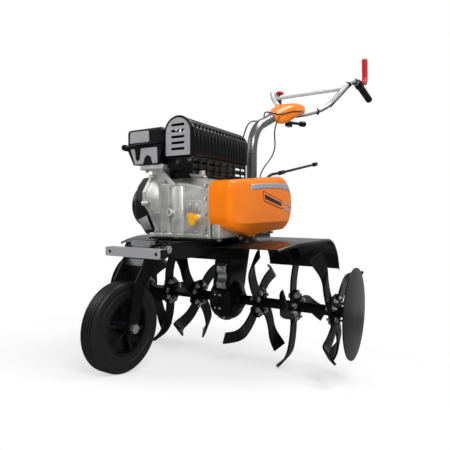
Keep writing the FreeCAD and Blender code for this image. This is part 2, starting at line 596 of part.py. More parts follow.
# ---------------------------------------------------------------- column and handlebar
def build_column():
    foot = RAIL_TOP
    shoe_thick = 6.0
    points = [V(COLUMN_X, 0, foot + shoe_thick), V(COLUMN_X, 0, COLUMN_BEND_Z), V(HINGE_X, 0, HINGE_Z)]
    column = bent_rod(points, COLUMN_RADIUS, 0.3)
    hub = rod(V(HINGE_X, -HINGE_HALF, HINGE_Z), V(HINGE_X, HINGE_HALF, HINGE_Z), COLUMN_RADIUS + 2)
    shoe = box(COLUMN_X - 32, COLUMN_X + 45, -RAIL_OUTER, RAIL_OUTER, foot, foot + shoe_thick)
    column = fuse([column, hub, shoe])
    bolt_hole = rod(V(HINGE_X, -HINGE_HALF, HINGE_Z), V(HINGE_X, HINGE_HALF, HINGE_Z), HINGE_BOLT + 0.05)
    NODES["column"] = column.cut(bolt_hole)
    # the console: a saddle over the column's end, open below and behind
    front = HINGE_X + 118
    rear = HINGE_X - 172
    outline = [(front, HINGE_Z - 66), (front + 12, HINGE_Z - 44), (HINGE_X + 58, HINGE_Z + 6),
               (HINGE_X - 40, HINGE_Z + 58), (HINGE_X - 130, HINGE_Z + 78), (rear, HINGE_Z + 66),
               (rear - 4, HINGE_Z + 46), (rear + 34, HINGE_Z + 18)]
    half = CONSOLE_HALF
    shell = plate_xz(outline, -half, half)
    shell = rounded(shell, 10.0, lambda e: abs(abs(e.CenterOfMass.y) - half) < 0.5
                    and e.CenterOfMass.z > HINGE_Z + 20)
    wall = CONSOLE_WALL
    hollow = [(front - 30, HINGE_Z - 90), (front - 30, HINGE_Z - 30), (HINGE_X + 54, HINGE_Z - 2),
              (HINGE_X - 40, HINGE_Z + 58 - wall), (HINGE_X - 130, HINGE_Z + 78 - wall),
              (rear - 20, HINGE_Z + 62 - wall), (rear - 60, HINGE_Z - 90)]
    inside = plate_xz(hollow, -half + wall, half - wall)
    shell = shell.cut(inside).cut(column)
    NODES["console"] = max(shell.Solids, key=lambda solid: solid.Volume)


def handle_route(side):
    """Centre line of one handle tube, from the clamp out to the end of its grip."""
    return [V(CLAMP_REAR, side * HANDLE_FOOT, HINGE_Z + 2), V(-664, side * 32, HINGE_Z + 36),
            V(-736, side * 104, CROSS_Z - 86), V(CROSS_X, side * CROSS_HALF, CROSS_Z),
            V(CROSS_X - 40, side * (CROSS_HALF + 25), CROSS_Z + 46),
            V(CROSS_X - 108, side * (CROSS_HALF + 39), CROSS_Z + 48),
            V(CROSS_X - 262, side * (CROSS_HALF + 61), CROSS_Z + 2)]


def build_handlebar():
    inner = HINGE_HALF + 1
    outer = inner + CHEEK_THICK
    tall = 13.0
    plate_rear = CLAMP_REAR + 12
    parts = []
    for side in (1, -1):
        ends = sorted((side * inner, side * outer))
        cheek = plate_xz([(HINGE_X + 18, HINGE_Z - tall), (HINGE_X + 18, HINGE_Z + tall),
                          (plate_rear, HINGE_Z + tall + 2), (plate_rear, HINGE_Z - tall + 2)], ends[0], ends[1])
        parts.append(cheek)
    reach = HANDLE_FOOT + HANDLE_RADIUS
    parts.append(box(CLAMP_REAR, plate_rear, -reach, reach, HINGE_Z - tall + 2, HINGE_Z + tall + 2))
    parts.append(rod(V(HINGE_X, -outer - 14, HINGE_Z), V(HINGE_X, outer + 8, HINGE_Z), HINGE_BOLT))
    parts.append(hex_head(V(HINGE_X, -outer, HINGE_Z), V(0, -1, 0), 17.0, 7.0))
    NODES["handle_clamp"] = fuse(parts)
    knob = rod(V(HINGE_X, outer + 8, HINGE_Z), V(HINGE_X, outer + 12, HINGE_Z), 10.0)
    NODES["lock_knob"] = knob
    for side, word in ((1, "left"), (-1, "right")):
        route = handle_route(side)
        tube = bent_rod(route, HANDLE_RADIUS, 0.42).cut(NODES["handle_clamp"])
        NODES["handle_tube_" + word] = tube
        bend, end = route[-2], route[-1]
        line = end - bend
        line.normalize()
        start = bend + line * 40
        grip = rod(start, end + line * 4, GRIP_RADIUS).cut(rod(bend, end, HANDLE_RADIUS))
        NODES["grip_" + word] = grip
    bar = rod(V(CROSS_X, -CROSS_HALF, CROSS_Z), V(CROSS_X, CROSS_HALF, CROSS_Z), CROSS_RADIUS)
    bar = bar.cut(NODES["handle_tube_left"]).cut(NODES["handle_tube_right"])
    NODES["handle_crossbar"] = max(bar.Solids, key=lambda solid: solid.Volume)
    for side, word in ((1, "left"), (-1, "right")):
        route = handle_route(side)
        line = route[-1] - route[-2]
        line.normalize()
        foot = route[-2] + line * 20
        collar = rod(foot, foot + line * 18, HANDLE_RADIUS + 6).cut(NODES["handle_tube_" + word])
        NODES["lever_collar_" + word] = collar
    # the clutch lever stands up from the left collar, a red-topped stem from the right one
    route = handle_route(1)
    line = route[-1] - route[-2]
    line.normalize()
    foot = route[-2] + line * 29
    lever = rod(V(foot.x, foot.y, foot.z + HANDLE_RADIUS + 5), V(foot.x - 50, foot.y, foot.z + 140), 9.0)
    NODES["clutch_lever"] = lever.cut(NODES["lever_collar_left"])
    foot = V(foot.x, -foot.y, foot.z)
    stem = rod(V(foot.x, foot.y, foot.z + HANDLE_RADIUS + 5), V(foot.x, foot.y, foot.z + 44), 3.0)
    stem = stem.cut(NODES["lever_collar_right"])
    ball = Part.makeSphere(13.0, V(foot.x, foot.y, foot.z + 50))
    NODES["stop_knob"] = fuse([stem, ball])


def build_controls():
    case_top = RAIL_TOP - RAIL_DEPTH + GEARCASE_RISE
    points = [V(-84, 14, case_top), V(-84, 14, case_top + 60), V(-150, 80, RAIL_TOP + 205),
              V(-250, 80, RAIL_TOP + 219), V(-640, 80, RAIL_TOP + 287)]
    lever = bent_rod(points, 5.0, 0.3)
    line = points[-1] - points[-2]
    line.normalize()
    knob = rod(points[-1] - line * 12, points[-1] + line * 26, 9.0)
    joint = rod(points[-2] - line * 10, points[-2] + line * 30, 8.0)
    NODES["gear_lever"] = fuse([lever, joint, knob])


def build_all():
    build_frame()
    build_gearbox()
    build_engine()
    build_top()
    build_cover()
    build_fenders()
    build_column()
    build_handlebar()
    build_controls()
    build_fork()
    build_wheel()


def tight_box(shape):
    return shape.optimalBoundingBox(False, False)


def parked_tilt(reel):
    """Nose-down angle that puts the tines and the front wheel on one floor."""
    tine_drop = -min(tight_box(shape).ZMin for shape in reel.values())
    run = WHEEL_X
    rise = WHEEL_Z - AXLE_HEIGHT
    span = math.hypot(run, rise)
    return math.degrees(math.atan2(rise, run) + math.asin((tine_drop - WHEEL_RADIUS) / span))


build_all()
REEL = build_reel()
TILT = parked_tilt(REEL)
AXLE = V(0, 0, AXLE_HEIGHT)
for name, shape in NODES.items():
    shape.rotate(AXLE, V(0, 1, 0), TILT)
for name, shape in REEL.items():
    shape.translate(AXLE)
    NODES[name] = shape
boxes = [tight_box(shape) for shape in NODES.values()]
low_x = min(item.XMin for item in boxes)
high_x = max(item.XMax for item in boxes)
SHIFT = V(-(low_x + high_x) / 2, 0, -min(item.ZMin for item in boxes))
os.makedirs("parts", exist_ok=True)
for name, shape in NODES.items():
    shape.translate(SHIFT)
    shape.exportStep("parts/%s.step" % name)
print("nodes", len(NODES), "tilt", round(TILT, 2), "shift", SHIFT)
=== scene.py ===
"""Finishes, light, camera and small pieces for the rotary tiller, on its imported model."""

import json
import math

import bmesh
import bpy
from mathutils import Matrix, Vector


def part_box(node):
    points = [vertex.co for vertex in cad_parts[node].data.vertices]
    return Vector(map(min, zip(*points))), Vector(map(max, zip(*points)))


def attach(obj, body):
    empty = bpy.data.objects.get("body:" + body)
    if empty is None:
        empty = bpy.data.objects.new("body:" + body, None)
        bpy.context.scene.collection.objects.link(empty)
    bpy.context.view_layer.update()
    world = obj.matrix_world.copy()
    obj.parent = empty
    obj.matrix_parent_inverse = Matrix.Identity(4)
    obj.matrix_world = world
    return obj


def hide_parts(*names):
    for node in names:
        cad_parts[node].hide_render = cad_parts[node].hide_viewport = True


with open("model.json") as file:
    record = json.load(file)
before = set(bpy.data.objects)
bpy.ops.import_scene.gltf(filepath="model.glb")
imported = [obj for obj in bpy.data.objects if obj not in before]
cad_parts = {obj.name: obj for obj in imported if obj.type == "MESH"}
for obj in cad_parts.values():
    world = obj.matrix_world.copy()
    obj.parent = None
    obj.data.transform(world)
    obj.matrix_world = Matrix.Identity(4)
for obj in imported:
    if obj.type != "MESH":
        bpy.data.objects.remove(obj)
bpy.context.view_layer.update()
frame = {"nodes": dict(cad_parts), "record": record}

NODES = frame["nodes"]

# ---- Places taken from the frame ----


def middle(node):
    """Centre of a node's box at rest."""
    low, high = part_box(node)
    return (low + high) / 2


AXLE = middle("tine_shaft")
WHEEL = middle("wheel_axle")
AXLE_HEIGHT = 185
WHEEL_X = 488
WHEEL_Z = 209
LEVEL_RISE = math.atan2(WHEEL_Z - AXLE_HEIGHT, WHEEL_X)
PARKED = math.atan2(AXLE.z - WHEEL.z, WHEEL.x - AXLE.x) + LEVEL_RISE
LEAN = Matrix.Rotation(PARKED, 4, "Y")
MILLIMETRES = Matrix.Scale(0.001, 4)
AT_AXLE = Matrix.Translation(AXLE) @ MILLIMETRES
# The machine held level, in millimetres: X forward, Z up, the tine axle at AXLE_HEIGHT.
LEVEL = Matrix.Translation(AXLE) @ LEAN @ MILLIMETRES @ Matrix.Translation((0, 0, -AXLE_HEIGHT))

# heights and reaches of the level machine
RAIL_TOP = 396
BASE = RAIL_TOP + 5
CRANK_X = 185
CRANK_Z = BASE + 89
CASE_TOP = BASE + 172
ENGINE_FRONT = 264
ENGINE_REAR = 62
ENGINE_RIGHT = -110
ENGINE_LEFT = 100
GUARD_LOW = 624
GUARD_MIDDLE = 11
GUARD_REACH = 43
GUARD_SHOULDER = 728 - GUARD_REACH
GUARD_REAR = -33
GUARD_FRONT = 284.5
CLEANER_FRONT = 296
CLEANER_LEFT = -36
CLEANER_RIGHT = CLEANER_LEFT - 130
CLEANER_LENGTH = 146
SEAM = GUARD_LOW + 30
BOWL_LOW = SEAM - 50
COVER_OUTER = 166
COVER_CREASE = RAIL_TOP + 45
HINGE_X = -440
HINGE_Z = 884
CROSS_X = -758
CROSS_Z = 1038
CROSS_HALF = 177
HANDLE_RADIUS = 11

# ---- Materials ----

ROUGH_SPREAD = 0.04


def node_tree(name):
    """A new material's tree with its shader."""
    material = bpy.data.materials.new(name)
    material.use_nodes = True
    tree = material.node_tree
    return material, tree, tree.nodes["Principled BSDF"]


def set_inputs(node, values):
    """Sets a node's inputs by name."""
    for name, value in values.items():
        node.inputs[name].default_value = value


def noise(tree, scale, detail=3.0):
    """Noise over the object's own coordinates."""
    place = tree.nodes.new("ShaderNodeTexCoord")
    texture = tree.nodes.new("ShaderNodeTexNoise")
    set_inputs(texture, {"Scale": scale, "Detail": detail})
    tree.links.new(place.outputs["Object"], texture.inputs["Vector"])
    return texture.outputs["Fac"]


def ramp(tree, source, stops):
    """Source through a colour ramp of (place, colour) stops."""
    node = tree.nodes.new("ShaderNodeValToRGB")
    elements = node.color_ramp.elements
    while len(elements) < len(stops):
        elements.new(0.5)
    for element, (place, colour) in zip(elements, stops):
        element.position = place
        element.color = (*colour, 1)
    tree.links.new(source, node.inputs["Fac"])
    return node.outputs["Color"]


def spread(tree, source, low, high):
    """Source remapped to low..high."""
    node = tree.nodes.new("ShaderNodeMapRange")
    set_inputs(node, {"To Min": low, "To Max": high})
    tree.links.new(source, node.inputs["Value"])
    return node.outputs["Result"]


def finish(name, colour, rough, metal=0.0, specular=0.5, vary=0.08, grain=900.0, depth=0.05, patch=14.0):
    """A painted, cast or moulded surface: patchy colour, uneven gloss and a fine grain."""
    material, tree, shader = node_tree(name)
    dark = tuple(c * (1 - vary) for c in colour)
    light = tuple(min(1, c * (1 + vary)) for c in colour)
    patches = noise(tree, patch, 4.0)
    tree.links.new(ramp(tree, patches, [(0.3, dark), (0.7, light)]), shader.inputs["Base Color"])
    gloss = spread(tree, noise(tree, patch * 3), rough - ROUGH_SPREAD, rough + ROUGH_SPREAD)
    tree.links.new(gloss, shader.inputs["Roughness"])
    set_inputs(shader, {"Metallic": metal, "Specular IOR Level": specular})
    bump = tree.nodes.new("ShaderNodeBump")
    set_inputs(bump, {"Strength": depth, "Distance": 0.001})
    tree.links.new(noise(tree, grain, 2.0), bump.inputs["Height"])
    tree.links.new(bump.outputs["Normal"], shader.inputs["Normal"])
    return material


FINISHES = {
    "orange_paint": finish("orange_paint", (0.88, 0.2, 0.004), 0.16, specular=0.2, vary=0.03, grain=300,
                           depth=0.03),
    "black_paint": finish("black_paint", (0.005, 0.005, 0.0055), 0.24, specular=0.13, vary=0.2, grain=420,
                          depth=0.06),
    "cast_aluminium": finish("cast_aluminium", (0.66, 0.66, 0.645), 0.31, metal=0.75, vary=0.24, grain=1500,
                             depth=0.5, patch=30),
    "black_plastic": finish("black_plastic", (0.005, 0.005, 0.006), 0.16, specular=0.2, grain=1400,
                            depth=0.08),
    "tyre_rubber": finish("tyre_rubber", (0.008, 0.008, 0.0083), 0.34, specular=0.3, depth=0.25),
    "column_grey": finish("column_grey", (0.17, 0.172, 0.175), 0.24, metal=0.75, specular=0.4, vary=0.05,
                          grain=500, depth=0.015),
    "tube_grey": finish("tube_grey", (0.6, 0.605, 0.61), 0.3, metal=0.3, specular=0.4, vary=0.05,
                        grain=500, depth=0.015),
    "red_plastic": finish("red_plastic", (0.52, 0.012, 0.012), 0.3, specular=0.3, vary=0.05, depth=0.1),
    "yellow_plastic": finish("yellow_plastic", (0.86, 0.42, 0.008), 0.32, specular=0.3, vary=0.05,
                             depth=0.1),
    "zinc_steel": finish("zinc_steel", (0.55, 0.56, 0.57), 0.26, metal=0.9, depth=0.1),
    "silver_paint": finish("silver_paint", (0.42, 0.42, 0.43), 0.34, metal=0.4, vary=0.05, grain=1200,
                           depth=0.08),
    "fender_grey": finish("fender_grey", (0.009, 0.0088, 0.009), 0.17, specular=0.26, vary=0.12, grain=500),
    "grip_rubber": finish("grip_rubber", (0.004, 0.004, 0.004), 0.45, specular=0.18, grain=700, depth=0.4),
    "heat_steel": finish("heat_steel", (0.16, 0.12, 0.1), 0.42, metal=0.8, vary=0.3, grain=600, depth=0.3),
}


def dress_nodes():
    """Gives each CAD node the finish of its slot in the record."""
    for part in frame["record"]["subparts"]:
        node = NODES[part["node"]]
        node.data.materials.clear()
        node.data.materials.append(FINISHES[part["material_slot"]])


# ---- Meshes, in millimetres ----


def mesh_of(points, faces):
    """A mesh from its points and faces, all facing outwards."""
    data = bpy.data.meshes.new("piece")
    data.from_pydata([tuple(point) for point in points], [], faces)
    shape = bmesh.new()
    shape.from_mesh(data)
    bmesh.ops.recalc_face_normals(shape, faces=shape.faces)
    shape.to_mesh(data)
    shape.free()
    return data


def skin(rings, around=True, caps=True, hole=None):
    """A surface through rings of equally many points, less the cells that hole(row, column) names."""
    count = len(rings[0])
    points = [point for ring in rings for point in ring]
    faces = []
    for row in range(len(rings) - 1):
        for column in range(count if around else count - 1):
            if hole and hole(row, column):
                continue
            here = row * count + column
            side = row * count + (column + 1) % count
            faces.append((here, side, side + count, here + count))
    if caps:
        faces.append(tuple(range(count)))
        faces.append(tuple(range(len(points) - count, len(points))))
    return mesh_of(points, faces)


def across(outline, y):
    """A side outline of (x, z) corners, at one place across the machine."""
    return [Vector((x, y, z)) for x, z in outline]


def standing(outline, x):
    """A front outline of (y, z) corners, at one place along the machine."""
    return [Vector((x, y, z)) for y, z in outline]


def plate_xz(outline, y0, y1):
    """A plate with a side outline of (x, z) corners."""
    return skin([across(outline, y0), across(outline, y1)])


def plate_yz(outline, x0, x1):
    """A plate with a front outline of (y, z) corners."""
    return skin([standing(outline, x0), standing(outline, x1)])


def box(x0, x1, y0, y1, z0, z1):
    """A rectangular block."""
    return plate_xz([(x0, z0), (x1, z0), (x1, z1), (x0, z1)], y0, y1)


def spun(start, direction, profile, sides=32, caps=True):
    """A turned form: (distance, radius) sections from start along a direction."""
    axis = Vector(direction).normalized()
    side = axis.orthogonal().normalized()
    other = axis.cross(side)
    rings = []
    for distance, radius in profile:
        centre = Vector(start) + axis * distance
        angles = [2 * math.pi * i / sides for i in range(sides)]
        rings.append([centre + (side * math.cos(a) + other * math.sin(a)) * radius for a in angles])
    if not caps:
        rings.append(rings[0])
    return skin(rings, caps=caps)


def rod(start, end, radius, sides=20):
    """A round bar with slightly eased ends."""
    line = Vector(end) - Vector(start)
    ease = min(1.0, radius * 0.2)
    length = line.length
    profile = [(0, radius - ease), (ease, radius), (length - ease, radius), (length, radius - ease)]
    return spun(start, line, profile, sides)


def bolt(seat, direction, flats=13.0):
    """A hexagon bolt head on its washer."""
    reach = flats / math.sqrt(3)
    washer = spun(seat, direction, [(0, reach * 1.25), (1.2, reach * 1.25), (1.6, reach * 1.15)], 24)
    head = spun(seat, direction, [(1.6, reach), (5.6, reach), (6.8, reach * 0.86)], 6)
    return joined([washer, head])


def joined(meshes):
    """Several meshes as one."""
    shape = bmesh.new()
    for data in meshes:
        shape.from_mesh(data)
        bpy.data.meshes.remove(data)
    data = bpy.data.meshes.new("piece")
    shape.to_mesh(data)
    shape.free()
    return data


def moved(data, matrix):
    """The same mesh, moved."""
    data.transform(matrix)
    return data


def mirrored(data):
    """The same mesh on the other side of the machine's middle."""
    data.transform(Matrix.Scale(-1, 4, (0, 1, 0)))
    data.flip_normals()
    return data


def curve_through(first, middle_point, last, t):
    """A point on the smooth bow from first to last that passes middle_point half way."""
    control = 2 * Vector(middle_point) - (Vector(first) + Vector(last)) / 2
    return (1 - t) ** 2 * Vector(first) + 2 * t * (1 - t) * control + t * t * Vector(last)


def eased(outline, radius, steps=4):
    """A closed outline with its corners rounded."""
    points = []
    for before, here, after in zip(outline[-1:] + outline[:-1], outline, outline[1:] + outline[:1]):
        here = Vector(here)
        back = Vector(before) - here
        ahead = Vector(after) - here
        trim = min(radius, back.length * 0.45, ahead.length * 0.45)
        if back.angle(ahead) > math.radians(165):
            points.append(tuple(here))
            continue
        start = here + back.normalized() * trim
        end = here + ahead.normalized() * trim
        for i in range(steps + 1):
            t = i / steps
            points.append(tuple((1 - t) ** 2 * start + 2 * t * (1 - t) * here + t * t * end))
    return points


def drawn_in(outline, inset):
    """A closed outline moved inwards, corner for corner."""
    area = sum(a[0] * b[1] - b[0] * a[1] for a, b in zip(outline, outline[1:] + outline[:1]))
    turn = 1 if area > 0 else -1
    points = []
    for before, here, after in zip(outline[-1:] + outline[:-1], outline, outline[1:] + outline[:1]):
        first = (Vector(here) - Vector(before)).normalized()
        second = (Vector(after) - Vector(here)).normalized()
        normals = Vector((-first.y, first.x)) * turn, Vector((-second.y, second.x)) * turn
        shift = (normals[0] + normals[1]) / (1 + normals[0].dot(normals[1]))
        points.append(tuple(Vector(here) + shift * inset))
    return points


def linked(name, data):
    """A new object in the scene."""
    thing = bpy.data.objects.new(name, data)
    bpy.context.scene.collection.objects.link(thing)
    return thing


def add(name, data, slot, stands_for=(), body="chassis", bevel=0.0, thick=0.0, place=LEVEL, crisp=32):
    """Puts a mesh, or a list of them as one, into the scene as a piece of a body."""
    if isinstance(data, list):
        data = joined(data)
    data.transform(place)
    data.shade_smooth()
    data.set_sharp_from_angle(angle=math.radians(crisp))
    data.name = name
    data.materials.append(FINISHES[slot])
    piece = linked(name, data)
    if thick:
        sheet = piece.modifiers.new("thickness", "SOLIDIFY")
        sheet.thickness = thick / 1000
        sheet.offset = 0
    if bevel:
        edges = piece.modifiers.new("edges", "BEVEL")
        edges.width = bevel / 1000
        edges.segments = 3
        edges.limit_method = "ANGLE"
        edges.angle_limit = math.radians(crisp)
        edges.harden_normals = True
    if stands_for:
        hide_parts(*stands_for)
    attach(piece, body)
    return piece


def wire(name, points, radius, slot, body="chassis"):
    """A bent tube or cable along a smooth line."""
    curve = bpy.data.curves.new(name, "CURVE")
    curve.dimensions = "3D"
    curve.bevel_depth = radius / 1000
    curve.bevel_resolution = 4
    curve.use_fill_caps = True
    spline = curve.splines.new("NURBS")
    spline.points.add(len(points) - 1)
    for point, place in zip(spline.points, points):
        point.co = (*(LEVEL @ Vector(place)), 1)
    spline.order_u = 4
    spline.use_endpoint_u = True
    spline.resolution_u = 10
    curve.materials.append(FINISHES[slot])
    piece = linked(name, curve)
    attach(piece, body)


# ---- Tine reel and wheel ----

TINE_RADIUS = 185
FLANGE_SIZE = 92
TINE_WIDTH = 44
# how far a tine's tip lies behind its root, and how far it stands out sideways
TINE_SWEEP = 92
TINE_REACH = 48
# radius and angle of a tine's bend
TINE_BEND = 45
TINE_TURN = math.radians(50)
TINE_THICK = 6
TINE_SETS = 3
TINES = 4
FIRST_SET = 118
SET_PITCH = 120
START_TURN = 62
SET_TURN = 45
TINE_BOLT_X = 11
TINE_BOLT_Z = 34
FLANGE_HALF = 4
TYRE_HALF = 21
TYRE_RADIUS = 104
PLUG_HALF = 10.6


def tine_lean(z):
    """How far a tine stands out sideways at height z: straight, then bent, then straight again."""
    rise = TINE_BEND * math.sin(TINE_TURN)
    drift = TINE_BEND * (1 - math.cos(TINE_TURN))
    bend_end = TINE_RADIUS - 2 - (TINE_REACH - drift) / math.tan(TINE_TURN)
    bend_start = bend_end - rise
    if z <= bend_start:
        return 0.0
    if z < bend_end:
        return TINE_BEND * (1 - math.cos(math.asin((z - bend_start) / TINE_BEND)))
    return drift + (z - bend_end) * math.tan(TINE_TURN)


def tine_edge(half, drop, tip_z):
    """Points along one edge of a tine, from its root to the circle that the tips run on."""
    root = FLANGE_SIZE * 0.26
    first = (half, root)
    knee = (half - TINE_SWEEP * 0.24, TINE_RADIUS * 0.62 - drop)
    last = (half - TINE_SWEEP, tip_z)
    end = 1.0
    while curve_through(first, knee, last, end).length > TINE_RADIUS - 1:
        end -= 0.005
    return [curve_through(first, knee, last, end * i / 26) for i in range(27)]


def one_tine(turn, side):
    """A sabre-shaped tine, turned about the shaft and bent to one side."""
    half = TINE_WIDTH / 2
    front = tine_edge(half, 0, TINE_RADIUS + 2)
    rear = tine_edge(-half, half * 0.4, TINE_RADIUS - half * 0.6)
    rings = []
    for ahead, behind in zip(front, rear):
        ring = [behind.lerp(ahead, share / 4) for share in range(5)]
        middle = FLANGE_HALF + TINE_THICK / 2
        rings.append([Vector((point.x, side * (middle + tine_lean(point.y)), point.y)) for point in ring])
    return moved(skin(rings, around=False, caps=False), Matrix.Rotation(turn, 4, "Y"))


def tine_bolts(turn, side):
    """The two bolts of a tine, heads on its side of the flange and nuts on the other."""
    parts = []
    for x in (-TINE_BOLT_X, TINE_BOLT_X):
        parts.append(bolt((x, side * (FLANGE_HALF + TINE_THICK), TINE_BOLT_Z), (0, side, 0)))
        parts.append(bolt((x, -side * FLANGE_HALF, TINE_BOLT_Z), (0, -side, 0)))
        parts.append(rod((x, -side * 9, TINE_BOLT_Z), (x, -side * 16, TINE_BOLT_Z), 3.6, 12))
    return moved(joined(parts), Matrix.Rotation(turn, 4, "Y"))


def make_reel():
    """Six sets of four tines, each bolted to its square flange."""
    half = FLANGE_SIZE / 2
    corner = half * 0.45
    plan = [(half, corner), (corner, half), (-corner, half), (-half, corner),
            (-half, -corner), (-corner, -half), (corner, -half), (half, -corner)]
    quarter = math.tau / TINES
    for side, word in ((1, "left"), (-1, "right")):
        for i in range(TINE_SETS):
            name = "%s_%d" % (word, i + 1)
            start = math.radians(START_TURN + side * SET_TURN * i)
            place = AT_AXLE @ Matrix.Translation((0, side * (FIRST_SET + SET_PITCH * i), 0))
            tines = []
            bolts = []
            for k in range(TINES):
                bend = side if k % 2 == 0 else -side
                tines.append(one_tine(start + k * quarter, bend))
                bolts.append(tine_bolts(start + k * quarter, bend))
            add("tines_" + name, tines, "black_paint", ["tine_set_" + name], "tine_reel", bevel=1.2,
                thick=TINE_THICK, place=place)
            flange = moved(plate_xz(plan, -FLANGE_HALF, FLANGE_HALF), Matrix.Rotation(start, 4, "Y"))
            hub = spun((0, -16, 0), (0, 1, 0), [(0, 21), (1.5, 22.5), (30.5, 22.5), (32, 21)])
            add("tine_flange_" + name, [flange, hub], "black_paint", body="tine_reel", bevel=1, place=place)
            add("tine_bolts_" + name, bolts, "zinc_steel", body="tine_reel", place=place)


def make_tyre():
    """Solid tyre: ribbed tread, rounded shoulders and two rings on each sidewall."""
    half = TYRE_HALF
    radius = TYRE_RADIUS
    tread = []
    for groove in (-11, -3.8, 3.8, 11):
        tread += [(groove - 1.6, radius), (groove - 1.0, radius - 3), (groove + 1.0, radius - 3),
                  (groove + 1.6, radius)]
    shoulder = [(half - 7 * (1 - math.sin(a)), radius - 7 * (1 - math.cos(a)))
                for a in (0.0, 0.3, 0.6, 0.9, 1.2, math.pi / 2)]
    wall = [(half + 0.4, radius - 11), (half - 0.6, radius - 13), (half - 0.8, radius - 20),
            (half + 0.2, radius - 21.5), (half + 0.2, radius - 24), (half - 1.2, radius - 25.5),
            (half - 2, radius - 38)]
    left = shoulder + wall
    right = [(-y, r) for y, r in reversed(left)]
    profile = [(y + half + 1, r) for y, r in right + tread + left]
    data = spun((WHEEL_X, -half - 1, WHEEL_Z), (0, 1, 0), profile, 112, caps=False)
    add("tyre", data, "tyre_rubber", ["wheel_tyre"], "front_wheel", crisp=25)


def make_bar_plugs():
    """End plugs in the square lifting bar."""
    centre = middle("lifting_bar")
    low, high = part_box("lifting_bar")
    half = (high.y - low.y) * 500
    place = Matrix.Translation(centre) @ LEAN @ MILLIMETRES
    plugs = []
    for side in (1, -1):
        plugs.append(box(-PLUG_HALF, PLUG_HALF, *sorted((side * (half - 1), side * (half + 3))),
                         -PLUG_HALF, PLUG_HALF))
    add("bar_plugs", plugs, "black_plastic", body="wheel_fork", bevel=2.5, place=place)


# ---- Engine ----

FAN_REACH = 109
BLOWER_DEPTH = 52
BLOWER_RIM = 13
STARTER_RIBS = 18
STARTER_BOLTS = 3
LOUVRES = 16
SKIRT_WINDOWS = 4


def round_side(inset, low, shares):
    """Side outline about the crankshaft: the foot, then shares of the reach, alike front and rear."""
    reach = FAN_REACH - inset
    foot, *rest = shares
    front = [(foot, (low - CRANK_Z) / reach)] + rest
    both = front + [(-x, z) for x, z in reversed(front)]
    return [(CRANK_X + x * reach, CRANK_Z + z * reach) for x, z in both]


def fan_side(inset):
    """Side outline of the flange that carries the blower, foot on the engine's base."""
    return round_side(inset, BASE, [0.42, (0.78, -0.18), (1.0, 0.06), (1.0, 0.36), (0.70, 0.79)])


def blower_side(inset):
    """Side outline of the blower's outer face, corner for corner with the flange's."""
    return round_side(inset, BASE + 3, [0.36, (0.81, -0.33), (0.84, 0.16), (0.72, 0.53), (0.51, 0.76)])


def case_side(grow, drop=0):
    """Side outline of the plain part of the crankcase, corner for corner with the flange's."""
    front = ENGINE_FRONT + grow
    rear = ENGINE_REAR - grow
    top = CASE_TOP - drop
    return [(front, BASE), (front, CRANK_Z - 20), (front, CRANK_Z + 7), (front, top - 24),
            (front - 24, top), (rear + 24, top), (rear, top - 24), (rear, CRANK_Z + 7),
            (rear, CRANK_Z - 20), (rear, BASE)]


def make_crankcase():
    """Cast crankcase: wide fan side flange, waisted neck, plain body and drive side flange."""
    front = ENGINE_FRONT
    bell_end = ENGINE_RIGHT + 12
    neck_end = bell_end + 34
    body = skin([across(fan_side(0), ENGINE_RIGHT), across(fan_side(0), bell_end)])
    neck = skin([across(fan_side(4), bell_end), across(case_side(-8), neck_end - 14),
                 across(case_side(0), neck_end), across(case_side(0), 20),
                 across(case_side(0, 18), ENGINE_LEFT)])
    rim = skin([across(case_side(5, 18), y) for y in (ENGINE_LEFT - 9, ENGINE_LEFT)])
    foot = box(ENGINE_REAR - 8, front + 8, ENGINE_RIGHT + 6, ENGINE_LEFT - 4, BASE, BASE + 12)
    pad = box(front - 4, front + 9, 30, 70, BASE + 72, BASE + 102)
    block = add("crankcase", [body, neck, rim, foot, pad], "cast_aluminium", ["engine_block"], bevel=3)
    block.modifiers["edges"].segments = 4
    bulge = spun((238, -8, BASE), (0, 0, 1), [(0, 34), (136, 34), (143, 31), (148, 23), (150, 8)], 40)
    rib = rod((front + 1, -38, BASE), (front + 1, -38, CASE_TOP - 30), 3.5)
    rear_rib = rod((front + 1, 16, BASE + 60), (front + 1, 16, CASE_TOP - 34), 2.5)
    boss = spun((front - 4, -30, BASE + 69), (1, 0, 0), [(0, 11), (14, 11), (15, 10), (15, 5), (8, 4)], 28)
    seat = rod((front - 4, 54, BASE + 53), (front + 8, 54, BASE + 53), 15, 28)
    studs = [rod((front, y, BASE + 87), (front + 19, y, BASE + 87), 9) for y in (40, 60)]
    pipe = rod((240, 8, CASE_TOP + 3), (240, 64, CASE_TOP + 3), 8.5)
    add("crankcase_bosses", [bulge, rib, rear_rib, boss, seat, pipe] + studs, "cast_aluminium", bevel=0.8)
    lugs = []
    corners = [fan_side(5)[i] for i in (2, 4, 5, 7)]
    for x, z in corners:
        lugs.append(rod((x, ENGINE_RIGHT - 3, z), (x, bell_end + 5, z), 7))
    add("fan_side_lugs", lugs, "cast_aluminium")
    bolts = [bolt((x, bell_end + 5, z), (0, 1, 0), 8) for x, z in corners]
    for y in (-84, -52, -20, 20, 54, 84):
        bolts.append(bolt((front + 2, y, BASE + 12), (0, 0, 1), 10))
    for z in (BASE + 26, BASE + 66, BASE + 106, BASE + 140):
        bolts.append(bolt((front + 2, ENGINE_LEFT - 9, z), (0, -1, 0), 8))
    add("crankcase_bolts", bolts, "zinc_steel")


